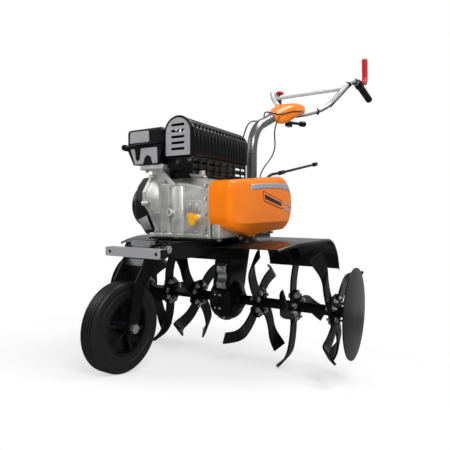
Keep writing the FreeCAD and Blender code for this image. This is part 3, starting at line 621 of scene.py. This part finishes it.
def make_blower():
    """Blower housing with its recoil starter on the right side."""
    outer = ENGINE_RIGHT - BLOWER_DEPTH
    shell = skin([across(blower_side(14), outer), across(blower_side(4), outer + 5),
                  across(blower_side(0), outer + BLOWER_RIM), across(fan_side(4), ENGINE_RIGHT)])
    add("blower_shell", shell, "black_plastic", ["blower_housing"], bevel=4)
    drum = spun((CRANK_X, outer, CRANK_Z), (0, -1, 0),
                [(-2, 68), (22, 68), (29, 64), (33, 57), (34, 50), (34, 26), (31, 24), (31, 8)], 64)
    ribs = []
    for i in range(STARTER_RIBS):
        rib = box(29, 54, outer - 35.5, outer - 30, -2.2, 2.2)
        turn = Matrix.Rotation(math.tau / STARTER_RIBS * i, 4, "Y")
        turn = Matrix.Translation((CRANK_X, 0, CRANK_Z)) @ turn
        ribs.append(moved(rib, turn))
    add("starter_drum", [drum] + ribs, "black_plastic", ["recoil_starter"], bevel=0.8)
    root = Vector((CRANK_X - 42, outer - 17, CRANK_Z + 42))
    end = root + Vector((-24, 0, 24))
    neck = rod(root, end, 5)
    grip = spun(end - Vector((0, 26, 0)), (0, 1, 0), [(0, 5), (3, 8), (20, 7), (32, 7), (49, 8), (52, 5)])
    add("starter_handle", [neck, grip], "black_plastic")
    bolts = []
    reach = 74
    for i in range(STARTER_BOLTS):
        angle = math.tau / STARTER_BOLTS * i + 0.5
        place = (CRANK_X + reach * math.cos(angle), outer, CRANK_Z + reach * math.sin(angle) * 0.9)
        bolts.append(bolt(place, (0, -1, 0), 8))
    add("starter_bolts", bolts, "zinc_steel")
    near = [Vector((x, outer + BLOWER_RIM, z)) for x, z in blower_side(0)[:2]]
    far = [Vector((x, ENGINE_RIGHT, z)) for x, z in fan_side(4)[:2]]
    proud = Vector((4.6, 0, -4.6))
    rows = [[near[0].lerp(near[1], up).lerp(far[0].lerp(far[1], up), side) + proud for side in (0.12, 0.88)]
            for up in (0.35, 0.95)]
    add("blower_sticker", skin(rows, around=False, caps=False), "silver_paint", thick=0.4)


def make_filler():
    """Yellow three-lobed oil filler knob."""
    start = Vector((ENGINE_FRONT + 8, 54, BASE + 53))
    parts = [rod(start, start + Vector((5, 0, 0)), 12)]
    for y, z in ((-6, 6), (7, 3), (-2, -9)):
        lobe = start + Vector((4, y, z))
        parts.append(spun(lobe, (1, 0, 0), [(0, 9), (1.5, 10), (8, 10), (11, 8), (12, 4)], 28))
    add("filler_knob", parts, "yellow_plastic", ["dipstick"])


def make_guard():
    """Arched, louvred muffler guard with ribbed sides."""
    left = GUARD_MIDDLE + GUARD_REACH
    right = GUARD_MIDDLE - GUARD_REACH
    side_levels = [GUARD_LOW, GUARD_LOW + 12, GUARD_SHOULDER - 4]
    turns = [0, 12, 19.7, 31, 44, 58, 74]
    angles = [math.radians(turn) for turn in turns + [90] + [180 - turn for turn in reversed(turns)]]
    path = [(left, z) for z in side_levels]
    path += [(GUARD_MIDDLE + GUARD_REACH * math.cos(a), GUARD_SHOULDER + GUARD_REACH * math.sin(a))
             for a in angles]
    path += [(right, z) for z in reversed(side_levels)]
    margin = 15
    pitch = (GUARD_FRONT - GUARD_REAR - 2 * margin) / LOUVRES
    middles = [GUARD_REAR + margin + pitch * (i + 0.5) for i in range(LOUVRES)]
    stations = [GUARD_REAR]
    for x in middles:
        stations += [x - 5, x - 1.2, x + 1.2, x + 5]
    stations.append(GUARD_FRONT)
    rings = [standing(path, x) for x in stations]
    arch_row = len(side_levels) + 2
    top_cells = (arch_row, len(path) - arch_row - 2)
    side_cells = (1, len(path) - 3)

    def louvre(row, column):
        place = row % 4
        if row in (0, len(stations) - 2) or place == 0:
            return False
        return column in top_cells or (place == 2 and column in side_cells)

    hood = skin(rings, around=False, caps=False, hole=louvre)
    back = mesh_of(standing(path, GUARD_REAR), [tuple(range(len(path)))])
    add("guard_hood", [hood, back], "black_paint", ["muffler_guard"], thick=2.2)
    rim = [(GUARD_FRONT + 1, y, z) for y, z in path]
    wire("guard_rim", rim, 3.2, "black_paint")
    ribs = []
    for i in range(LOUVRES + 1):
        x = GUARD_REAR + margin + pitch * i
        for y in (left, right):
            ribs.append(spun((x, y, GUARD_LOW + 6), (0, 0, 1), [(0, 1.5), (4, 4.2), (58, 4.2), (64, 1)], 12))
    add("guard_ribs", ribs, "black_paint")


def make_skirt():
    """The guard's slotted skirt, with its plain front face."""
    left = GUARD_MIDDLE + GUARD_REACH
    right = GUARD_MIDDLE - GUARD_REACH
    front = GUARD_FRONT - 1.5
    breaks = [front]
    for i in range(SKIRT_WINDOWS):
        start = front - 8 - 76 * i
        breaks += [start, start - 30, start - 38, start - 62]
    breaks.append(GUARD_REAR + 9)
    levels = [CASE_TOP, CASE_TOP + 10, CASE_TOP + 16, CASE_TOP + 29, CASE_TOP + 35, GUARD_LOW + 4]
    rows = [[Vector((x, left - 1.2, z)) for z in levels] for x in breaks]
    side = skin(rows, around=False, caps=False, hole=lambda row, column: row % 2 == 1 and column in (1, 3))
    corners = [(left - 1, CASE_TOP), (left - 1, GUARD_LOW), (right + 6, GUARD_LOW),
               (right + 6, CASE_TOP + 20)]
    face = mesh_of(standing(corners, front), [(0, 1, 2, 3)])
    add("guard_skirt", [side, face], "black_paint", ["muffler_skirt"], thick=2)


def make_cleaner():
    """Air cleaner: glossy cover, seam with its clip, tapered bowl and silver panels."""
    front, right, left = CLEANER_FRONT, CLEANER_RIGHT, CLEANER_LEFT
    rear = front - CLEANER_LENGTH
    upper = box(rear, front, right, left, SEAM, SEAM + 52)
    add("cleaner_cover", upper, "black_plastic", ["air_cleaner"], bevel=11)
    lip = box(rear - 2, front + 3.5, right - 3.5, left, SEAM - 3, SEAM + 3)
    low = BOWL_LOW
    bowl = [[(rear + 6, y0), (front, y0), (front, y1), (rear + 6, y1)]
            for y0, y1 in ((right + 26, left - 12), (right, left))]
    bowl = skin([[Vector((x, y, z)) for x, y in ring] for ring, z in zip(bowl, (low, SEAM))])
    add("cleaner_bowl", [lip, bowl], "black_plastic", bevel=2)
    knob_y = right - 5
    knob = spun((front - 16, knob_y, SEAM + 2), (1, 0, 0),
                [(0, 7), (2, 9), (20, 9), (24, 7), (24, 4), (20, 3)], 24)
    clip = [(front + 5, knob_y + 6, SEAM + 2), (front + 6, right + 56, SEAM + 7),
            (front + 6, right + 86, SEAM + 6), (front + 2, left - 4, SEAM + 8)]
    wire("cleaner_clip", clip, 3, "black_plastic")
    add("cleaner_knob", knob, "black_plastic")
    badge = [(right + 14, SEAM + 12), (right + 17, SEAM + 43), (left - 46, SEAM + 43),
             (left - 44, SEAM + 12)]
    grille = [(right + 17, SEAM - 4), (right + 32, SEAM - 4), (right + 36, low + 16), (right + 44, low + 10),
              (right + 52, low + 16), (right + 56, SEAM - 4), (left - 17, SEAM - 4), (left - 15, low + 3),
              (left - 33, low + 2), (left - 38, low + 20), (left - 50, low + 27), (left - 61, low + 20),
              (left - 67, low + 2), (right + 33, low + 2)]
    panels = [plate_yz(outline, front - 0.5, front + 1.6) for outline in (eased(badge, 4), eased(grille, 2))]
    add("cleaner_panels", panels, "silver_paint", bevel=0.5)


def make_inlet():
    """Inlet casting that carries the air cleaner, carburettor block and heat shield behind it."""
    left = CLEANER_LEFT
    shelf_low = BOWL_LOW - 14
    shelf = box(CLEANER_FRONT - CLEANER_LENGTH + 30, CLEANER_FRONT - 4, left - 84, left - 2, shelf_low,
                BOWL_LOW)
    neck = box(ENGINE_FRONT - 59, ENGINE_FRONT - 6, CLEANER_RIGHT + 61, left - 19, CASE_TOP - 40,
               shelf_low + 2)
    arm = plate_yz([(left - 42, shelf_low + 3), (left - 24, shelf_low + 3), (left + 29, shelf_low - 44),
                    (left + 14, shelf_low - 52)], ENGINE_FRONT - 2, ENGINE_FRONT + 7)
    add("inlet_casting", [shelf, neck, arm], "cast_aluminium", ["intake_bracket"], bevel=3)
    front = ENGINE_FRONT - 14
    body = [box(front - 72, front, left - 6, GUARD_MIDDLE + 11, CASE_TOP - 8, GUARD_LOW + 6),
            rod((front, left + 12, CASE_TOP + 22), (front + 18, left + 12, CASE_TOP + 22), 11),
            rod((front, 8, CASE_TOP + 26), (front + 26, 8, CASE_TOP + 26), 6)]
    add("carburettor", body, "black_plastic", bevel=2)
    shield = box(GUARD_REAR + 6, 150, GUARD_MIDDLE - 1, GUARD_MIDDLE + 1, CASE_TOP + 3, GUARD_LOW + 2)
    add("heat_shield", shield, "heat_steel")
    bolts = [bolt((CLEANER_FRONT - 20, y, shelf_low), (0, 0, -1), 8) for y in (left - 70, left - 14)]
    add("inlet_bolts", bolts, "zinc_steel")


# ---- Belt cover, gearbox and fenders ----

COVER_FRONT = 272
COVER_REAR = -156
COVER_TOP = RAIL_TOP + 190
COVER_ARC = 90
# rounding towards the outer face, and of the outline's corners
COVER_ROUND = 17
COVER_EASE = 32
COVER_INNER = 99
GEAR_BOLTS = 10
GEAR_BOLT_REACH = 68
FENDER_TOP = RAIL_TOP - 8
FENDER_INNER = 68
FENDER_OUTER = 318
FENDER_CURL = 128


def cover_outline():
    """Side outline of the cover: creased foot, square front, large round rear."""
    centre = Vector((COVER_REAR + COVER_ARC, COVER_TOP - COVER_ARC))
    points = [(COVER_FRONT, COVER_CREASE - 4), (COVER_FRONT, RAIL_TOP + 158)]
    for i in range(19):
        angle = math.radians(90 + 156 * i / 18)
        points.append((centre.x + COVER_ARC * math.cos(angle), centre.y + COVER_ARC * math.sin(angle)))
    return points + [(30, RAIL_TOP + 14), (75, RAIL_TOP + 12), (122, RAIL_TOP + 3)]


def make_cover():
    """Deep orange cover, rounded towards its outer face and tucked in below its crease."""
    outline = eased(cover_outline(), COVER_EASE, 8)
    rings = [across(outline, COVER_INNER), across(outline, COVER_OUTER - COVER_ROUND - 2)]
    for i in range(9):
        angle = math.pi / 16 * i
        inset = COVER_ROUND * (1 - math.cos(angle))
        rings.append(across(drawn_in(outline, inset), COVER_OUTER - COVER_ROUND * (1 - math.sin(angle))))
    rings.append(across(drawn_in(outline, COVER_ROUND + 3), COVER_OUTER))
    data = skin(rings)
    shape = bmesh.new()
    shape.from_mesh(data)
    every = shape.verts[:] + shape.edges[:] + shape.faces[:]
    bmesh.ops.bisect_plane(shape, geom=every, plane_co=(0, 0, COVER_CREASE), plane_no=(0, 0, 1))
    for vertex in shape.verts:
        limit = COVER_OUTER - max(0, COVER_CREASE - vertex.co.z) * 0.5
        vertex.co.y = min(vertex.co.y, limit)
    shape.to_mesh(data)
    shape.free()
    add("cover_shell", data, "orange_paint", ["belt_cover"], crisp=24)
    seal = drawn_in(outline, 9)
    add("cover_seal", plate_xz(seal, ENGINE_LEFT, COVER_INNER + 4), "black_paint", ["belt_backplate"])
    front = COVER_FRONT - 10
    foot = [(front - 112, BASE), (front, BASE), (front, BASE + 40), (front - 24, BASE + 50),
            (front - 112, BASE + 30)]
    add("cover_foot", plate_xz(foot, COVER_INNER + 1, 126), "cast_aluminium", bevel=6)
    bolts = [bolt((x, COVER_OUTER - 28, RAIL_TOP + 13), (0, 0, -1), 10) for x in (20, -40)]
    add("cover_bolts", bolts, "zinc_steel")


def cover_face(x, z):
    """How far out the cover's skin is at (x, z)."""
    outline = eased(cover_outline(), COVER_EASE, 8)
    here = Vector((x, z))
    depth = 1000.0
    for a, b in zip(outline, outline[1:] + outline[:1]):
        start = Vector(a)
        line = Vector(b) - start
        if line.length < 1e-6:
            continue
        share = max(0, min(1, (here - start).dot(line) / line.length_squared))
        depth = min(depth, (here - start - line * share).length)
    short = max(0, 1 - depth / COVER_ROUND)
    return COVER_OUTER - COVER_ROUND * (1 - math.sqrt(1 - short * short))


def band(name, upper, lower, slot, proud=0.35):
    """A thin band that lies on the cover between two lines of equally many (x, z) points."""
    rings = []
    for top, low in zip(upper, lower):
        line = [Vector(top).lerp(Vector(low), i / 4) for i in range(5)]
        rings.append([Vector((p.x, cover_face(p.x, p.y) + proud, p.y)) for p in line])
    add(name, skin(rings, around=False, caps=False), slot, thick=0.3)


def make_cover_marks():
    """Silver stripe that curls down at the rear, two short bars and a framed plate without text."""
    steps = [i / 30 for i in range(31)]
    upper = [curve_through((158, 548), (30, 559), (-98, 563), t) for t in steps[::3]]
    lower = [curve_through((163, 532), (30, 542), (-92, 543), t) for t in steps[::3]]
    upper += [curve_through((-98, 563), (-130, 549), (-144, 516), t) for t in steps[3::3]]
    lower += [curve_through((-92, 543), (-119, 537), (-142, 515), t) for t in steps[3::3]]
    band("cover_stripe", upper, lower, "silver_paint")
    for name, x, z in (("high", -84, 505), ("low", -72, 488)):
        top = [(x - i * 6, z - i * 1.5) for i in range(11)]
        under = [(x - i * 6, z - 8 - i * 1.5) for i in range(11)]
        band("cover_bar_" + name, top, under, "silver_paint")
    plate = [(82, 534), (-60, 507), (-66, 479), (76, 503)]
    for name, inset, out, slot in (("rim", 0, 0.6, "black_plastic"), ("plate", 2.5, 0.9, "orange_paint"),
                                   ("label", 8, 1.2, "black_plastic")):
        face = plate_xz(eased(drawn_in(plate, inset), 3), COVER_OUTER - 1, COVER_OUTER + out)
        add("cover_" + name, face, slot)


def make_gearbox():
    """Round gear case on the shaft with domed cheeks, bolted together, and its flat neck."""
    z = AXLE_HEIGHT
    neck = [(-58, z), (58, z), (30, RAIL_TOP - 26), (-20, RAIL_TOP + 20), (-110, RAIL_TOP + 20),
            (-112, RAIL_TOP - 32)]
    add("gear_neck", plate_xz(neck, -30, 30), "black_paint", bevel=7)
    profile = [(0, 73), (5, 73), (8, 68)]
    for i in range(9):
        angle = math.pi / 2 * i / 8
        profile.append((8 + 36 * math.sin(angle), 39 + 29 * math.cos(angle)))
    profile += [(49, 31), (56, 28), (58, 26)]
    cheek = spun((0, 0, z), (0, 1, 0), profile, 64)
    other = mirrored(spun((0, 0, z), (0, 1, 0), profile, 64))
    add("gear_case", [cheek, other], "black_paint", ["gearbox"])
    bolts = []
    for i in range(GEAR_BOLTS):
        angle = math.tau / GEAR_BOLTS * (i + 0.5)
        if math.sin(angle) > 0.85:
            continue
        place = (GEAR_BOLT_REACH * math.cos(angle), 5, z + GEAR_BOLT_REACH * math.sin(angle))
        bolts.append(bolt(place, (0, 1, 0), 8))
        bolts.append(mirrored(bolt(place, (0, 1, 0), 8)))
    add("gear_case_bolts", bolts, "zinc_steel")
    wave = [(66, z + 44), (70, z + 62), (62, z + 74), (58, z + 86), (66, z + 98), (66, z + 114),
            (50, z + 130)]
    rings = []
    for i in range(len(wave) - 1):
        for t in (0.0, 0.5):
            point = Vector(wave[i]).lerp(Vector(wave[i + 1]), t)
            rings.append([Vector((point.x, y, point.y)) for y in (-2, 6, 14, 22, 30)])
    add("gear_strap", skin(rings, around=False, caps=False), "zinc_steel", ["gearbox_bracket"],
        thick=4, bevel=0.8)
    heads = [bolt((68, 14, z + 56), (1, 0, 0)), bolt((68, 14, z + 106), (1, 0, 0))]
    add("gear_strap_bolts", heads, "zinc_steel")


def make_fender(side, word):
    """Sheet fender, flat over the tines and curled down behind them, with rolled edges."""
    top = FENDER_TOP
    profile = [(214, top - 13), (180, top - 7), (130, top - 2), (80, top), (20, top), (-40, top)]
    for i in range(11):
        angle = math.radians(90 + 8 * i)
        x = -62 + FENDER_CURL * math.cos(angle)
        profile.append((x, top - FENDER_CURL + FENDER_CURL * math.sin(angle)))
    rings = []
    for x, z in profile:
        outer = FENDER_OUTER - max(0, x - 60) * 0.3
        row = [(FENDER_INNER + (outer - FENDER_INNER) * share / 6, z) for share in range(6)]
        row += [(outer - 2, z), (outer, z - 1.5), (outer + 0.5, z - 6)]
        rings.append([Vector((x, side * y, h)) for y, h in row])
    sheet = skin(rings, around=False, caps=False)
    add("fender_sheet_" + word, sheet, "fender_grey", ["fender_" + word], thick=2.5, bevel=0.6)
    lug = box(-40, 84, *sorted((side * 60, side * 88)), top - 6, top + 1)
    add("fender_lug_" + word, lug, "black_paint", bevel=1)
    bolts = [bolt((x, side * y, top + 2), (0, 0, 1)) for x, y in ((66, 80), (-22, 80), (196, 84))]
    add("fender_bolts_" + word, bolts, "zinc_steel")


# ---- Console, levers and cables ----

# power that makes the console's round section squarer
POD_ROUND = 0.55
LOCK_SIDE = 28
CABLE_RADIUS = 2.6


def make_console():
    """Orange pod over the column's end: narrow in front, rounded behind, open below."""
    stations = [(104, 20, -56, -34), (86, 27, -62, -18), (62, 33, -60, -2), (30, 41, -50, 16),
                (0, 48, -34, 30), (-30, 52, -20, 42), (-60, 54, -8, 50), (-92, 54, 4, 57),
                (-120, 54, 14, 61), (-140, 53, 24, 63), (-154, 50, 34, 63), (-166, 45, 47, 61),
                (-173, 38, 55, 60), (-176, 28, 56, 58)]
    rings = []
    for x, half, low, high in stations:
        ring = []
        for i in range(21):
            angle = math.pi * i / 20
            y = half * math.copysign(abs(math.cos(angle)) ** POD_ROUND, math.cos(angle))
            z = low + (high - low) * math.sin(angle) ** POD_ROUND
            ring.append(Vector((HINGE_X + x, y, HINGE_Z + z)))
        rings.append(ring)
    data = skin(rings, around=False, caps=False)
    end = mesh_of(rings[-1], [tuple(range(21))])
    add("console_pod", [data, end], "orange_paint", ["console"], thick=2.6, crisp=50)


def handle_line(side):
    """Middle line of a handle tube, from the clamp to the end of its grip."""
    return [Vector(point) for point in (
        (HINGE_X - 72, side * 26, HINGE_Z + 2), (CROSS_X + 94, side * 32, HINGE_Z + 36),
        (CROSS_X + 22, side * 104, CROSS_Z - 86), (CROSS_X, side * CROSS_HALF, CROSS_Z),
        (CROSS_X - 40, side * (CROSS_HALF + 25), CROSS_Z + 46),
        (CROSS_X - 108, side * (CROSS_HALF + 39), CROSS_Z + 48),
        (CROSS_X - 262, side * (CROSS_HALF + 61), CROSS_Z + 2))]


def make_levers():
    """Clutch lever and its clamp at the left grip, stop knob at the right one, lock lever and tube band."""
    line = handle_line(1)
    along = (line[-1] - line[-2]).normalized()
    foot = line[-2] + along * 29
    low = foot.z + 15
    knee = foot.x - 92
    outline = [(foot.x + 2, low - 8), (foot.x + 4, low + 10), (knee + 44, low + 24), (knee + 32, low + 44),
               (knee + 44, low + 126), (knee + 34, low + 136), (knee + 8, low + 134), (knee, low + 34),
               (knee + 14, low + 8), (foot.x - 20, low - 10)]
    blade = plate_xz(eased(outline, 8), foot.y - 4, foot.y + 20)
    add("clutch_blade", blade, "red_plastic", ["clutch_lever"], "handlebar", bevel=6)
    clamp = spun(line[-2] - along * 8, along, [(0, 13), (3, 17), (20, 20), (38, 20), (44, 17)], 32)
    add("clutch_clamp", clamp, "black_plastic", body="handlebar")
    seat = Vector((foot.x - 30, -foot.y, foot.z - 12))
    housing = box(seat.x - 18, seat.x + 18, seat.y - 14, seat.y + 14, seat.z - 22, seat.z + 20)
    add("stop_housing", housing, "black_plastic", body="handlebar", bevel=4)
    tip = seat + Vector((3, 10, 40))
    add("stop_stem", rod(seat, tip, 4), "black_plastic", body="handlebar")
    mushroom = spun(tip - Vector((0, 0, 6)), (0, 0, 1),
                    [(0, 6), (4, 10), (6, 20), (11, 22), (16, 20), (20, 13), (22, 4)], 32)
    add("stop_button", mushroom, "red_plastic", ["stop_knob"], "handlebar")
    side = LOCK_SIDE
    arm = [rod((HINGE_X, side, HINGE_Z), (HINGE_X, side + 9, HINGE_Z), 9),
           rod((HINGE_X, side + 5, HINGE_Z), (HINGE_X - 6, side + 5, HINGE_Z - 42), 6),
           box(HINGE_X - 30, HINGE_X + 8, side - 6, side + 12, HINGE_Z - 58, HINGE_Z - 36),
           rod((HINGE_X - 6, side + 5, HINGE_Z - 42), (HINGE_X - 70, 62, HINGE_Z - 40), 6),
           spun((HINGE_X - 66, 60, HINGE_Z - 40), (-64, 29, 4), [(0, 7), (3, 11), (26, 12), (30, 9)], 20)]
    add("lock_lever", arm, "black_plastic", ["lock_knob"], "handlebar")
    right = handle_line(-1)
    start = right[2].lerp(right[3], 0.45)
    band_ring = rod(start, start + (right[3] - right[2]).normalized() * 14, HANDLE_RADIUS + 0.5, 28)
    add("tube_band", band_ring, "yellow_plastic", body="handlebar")


def make_cables():
    """Control cables: two on the handle tube, one to the belt cover, one past the console to the engine."""
    aside = Vector((0, 11, -9))
    line = handle_line(1)
    points = [line[5] + Vector((-30, 5, -8)), line[5] + aside, line[4] + aside, line[3] + aside,
              line[2] + aside, line[1] + aside, line[0] + Vector((-20, 8, -6))]
    wire("handle_cable", points, CABLE_RADIUS, "black_plastic", "handlebar")
    spare = Vector((0, 8, 10))
    wire("handle_cable_upper", [point + spare for point in points[1:5]], 2.0, "black_plastic", "handlebar")
    hang = 114
    drape = [(HINGE_X + hang * x, 30, HINGE_Z - hang * z)
             for x, z in ((0.70, 0.30), (0.98, 0.52), (1.24, 0.92), (1.04, 1.34), (1.30, 1.76), (1.9, 2.1))]
    drape += [(-150, 34, 588), (-134, 66, 566), (-112, 102, 556)]
    wire("clutch_cable", drape, CABLE_RADIUS, "black_plastic")
    over = ((-148, 48, 38), (-92, 58, 16), (-30, 55, 7), (30, 45, -8), (62, 37, -20), (88, 28, -26),
            (116, 6, -24), (120, -18, -14), (98, -34, -36), (74, -28, -52))
    pull = [(HINGE_X + x, y, HINGE_Z + z) for x, y, z in over]
    pull += [(-230, -30, 820), (-188, -30, 790), (-150, -28, 730), (-150, -28, 690), (-90, -14, 664),
             (GUARD_REAR - 1, -6, 654)]
    wire("throttle_cable", pull, CABLE_RADIUS, "black_plastic")
    ties = []
    for index, share in ((1, 0.5), (3, 0.5), (4, 0.4)):
        start = line[index].lerp(line[index + 1], share)
        along = (line[index + 1] - line[index]).normalized()
        ties.append(spun(start + Vector((0, 3, -2)), along, [(0, 15), (4, 15)], 24))
    add("cable_ties", ties, "black_plastic", body="handlebar")


# ---- Light, floor and camera ----

WHITE = (1, 1, 1, 1)
WORLD_LIGHT = 0.4
FLOOR_HALF = 6
FLOOR_SINK = 0.0005
FLOOR_SHADE = 0.9
FLOOR_MIRRORED = 0.28
# distances in metres over which the floor fades out, and its share of white before that
FADE_START = 0.55
FADE_END = 1.15
FADE_LEAST = 0.62
CAMERA_PLACE = (1172.5, 682.0, 477.9)
CAMERA_YAW = math.radians(210.609)
CAMERA_PITCH = math.radians(-2.129)
CAMERA_LENS = 32.76


def mix(tree, factor, first, second):
    """Mix shader of two shaders."""
    node = tree.nodes.new("ShaderNodeMixShader")
    tree.links.new(factor, node.inputs[0])
    tree.links.new(first, node.inputs[1])
    tree.links.new(second, node.inputs[2])
    return node.outputs[0]


def combined(tree, operation, first, second):
    """Two values through a maths node."""
    node = tree.nodes.new("ShaderNodeMath")
    node.operation = operation
    tree.links.new(first, node.inputs[0])
    tree.links.new(second, node.inputs[1])
    return node.outputs[0]


def sees_background(tree):
    """1 for rays that should meet the plain white background."""
    rays = tree.nodes.new("ShaderNodeLightPath").outputs
    return combined(tree, "MAXIMUM", rays["Is Camera Ray"], rays["Is Transmission Ray"])


def make_world():
    """A plain white studio: white where it is seen, dimmer where it lights."""
    world_data = bpy.data.worlds.new("studio")
    bpy.context.scene.world = world_data
    world_data.use_nodes = True
    tree = world_data.node_tree
    shown = tree.nodes["Background"]
    set_inputs(shown, {"Color": WHITE, "Strength": 1.0})
    lit = tree.nodes.new("ShaderNodeBackground")
    set_inputs(lit, {"Color": WHITE, "Strength": WORLD_LIGHT})
    result = mix(tree, sees_background(tree), lit.outputs[0], shown.outputs[0])
    tree.links.new(result, tree.nodes["World Output"].inputs["Surface"])


def make_floor():
    """A pale floor that fades into the background away from the machine."""
    mesh = bpy.data.meshes.new("floor")
    grid = bmesh.new()
    bmesh.ops.create_grid(grid, x_segments=8, y_segments=8, size=FLOOR_HALF)
    grid.to_mesh(mesh)
    grid.free()
    floor = linked("floor", mesh)
    floor.location.z = -FLOOR_SINK
    material, tree, shader = node_tree("floor")
    path = tree.nodes.new("ShaderNodeLightPath")
    shade = ramp(tree, path.outputs["Is Glossy Ray"], [(0, (FLOOR_SHADE,) * 3), (1, (FLOOR_MIRRORED,) * 3)])
    tree.links.new(shade, shader.inputs["Base Color"])
    set_inputs(shader, {"Roughness": 0.9, "Specular IOR Level": 0.0})
    glow = tree.nodes.new("ShaderNodeEmission")
    set_inputs(glow, {"Color": WHITE, "Strength": 1.0})
    place = tree.nodes.new("ShaderNodeTexCoord")
    length = tree.nodes.new("ShaderNodeVectorMath")
    length.operation = "LENGTH"
    tree.links.new(place.outputs["Object"], length.inputs[0])
    fade = tree.nodes.new("ShaderNodeMapRange")
    fade.interpolation_type = "SMOOTHSTEP"
    set_inputs(fade, {"From Min": FADE_START, "From Max": FADE_END, "To Min": FADE_LEAST})
    tree.links.new(length.outputs["Value"], fade.inputs["Value"])
    faded = combined(tree, "MULTIPLY", fade.outputs["Result"], sees_background(tree))
    result = mix(tree, faded, shader.outputs[0], glow.outputs[0])
    tree.links.new(result, tree.nodes["Material Output"].inputs["Surface"])
    mesh.materials.append(material)


def make_lamp(name, place, target, size, energy):
    """A soft box lamp aimed at a point."""
    data = bpy.data.lights.new(name, "AREA")
    data.shape = "SQUARE"
    data.size = size
    data.energy = energy
    lamp = linked(name, data)
    lamp.location = place
    aim = Vector(target) - Vector(place)
    lamp.rotation_euler = aim.to_track_quat("-Z", "Y").to_euler()


def make_camera():
    """The camera, placed in the level machine's own axes and leaned with it."""
    across_floor = math.cos(CAMERA_PITCH)
    forward = Vector((across_floor * math.cos(CAMERA_YAW), across_floor * math.sin(CAMERA_YAW),
                      math.sin(CAMERA_PITCH)))
    right = forward.cross(Vector((0, 0, 1))).normalized()
    up = right.cross(forward)
    turn = Matrix((right, up, -forward)).transposed().to_4x4()
    data = bpy.data.cameras.new("camera")
    data.lens = CAMERA_LENS
    data.sensor_width = 36
    data.clip_start = 0.01
    camera = linked("camera", data)
    camera.matrix_world = Matrix.Translation(LEVEL @ Vector(CAMERA_PLACE)) @ LEAN @ turn
    bpy.context.scene.camera = camera


def main():
    """Builds the whole scene."""
    bpy.context.scene.view_settings.view_transform = "Standard"
    dress_nodes()
    make_reel()
    make_tyre()
    make_bar_plugs()
    make_crankcase()
    make_blower()
    make_filler()
    make_guard()
    make_skirt()
    make_cleaner()
    make_inlet()
    make_cover()
    make_cover_marks()
    make_gearbox()
    make_fender(1, "left")
    make_fender(-1, "right")
    make_console()
    make_levers()
    make_cables()
    make_world()
    make_floor()
    make_lamp("key", (1.9, 1.5, 2.0), (0.1, 0, 0.5), size=1.1, energy=44)
    make_lamp("fill", (1.2, -1.8, 1.4), (0.1, 0, 0.5), size=1.2, energy=12)
    make_lamp("top", (-0.4, 0.5, 2.6), (0, 0, 0.5), size=1.2, energy=34)
    make_camera()


main()
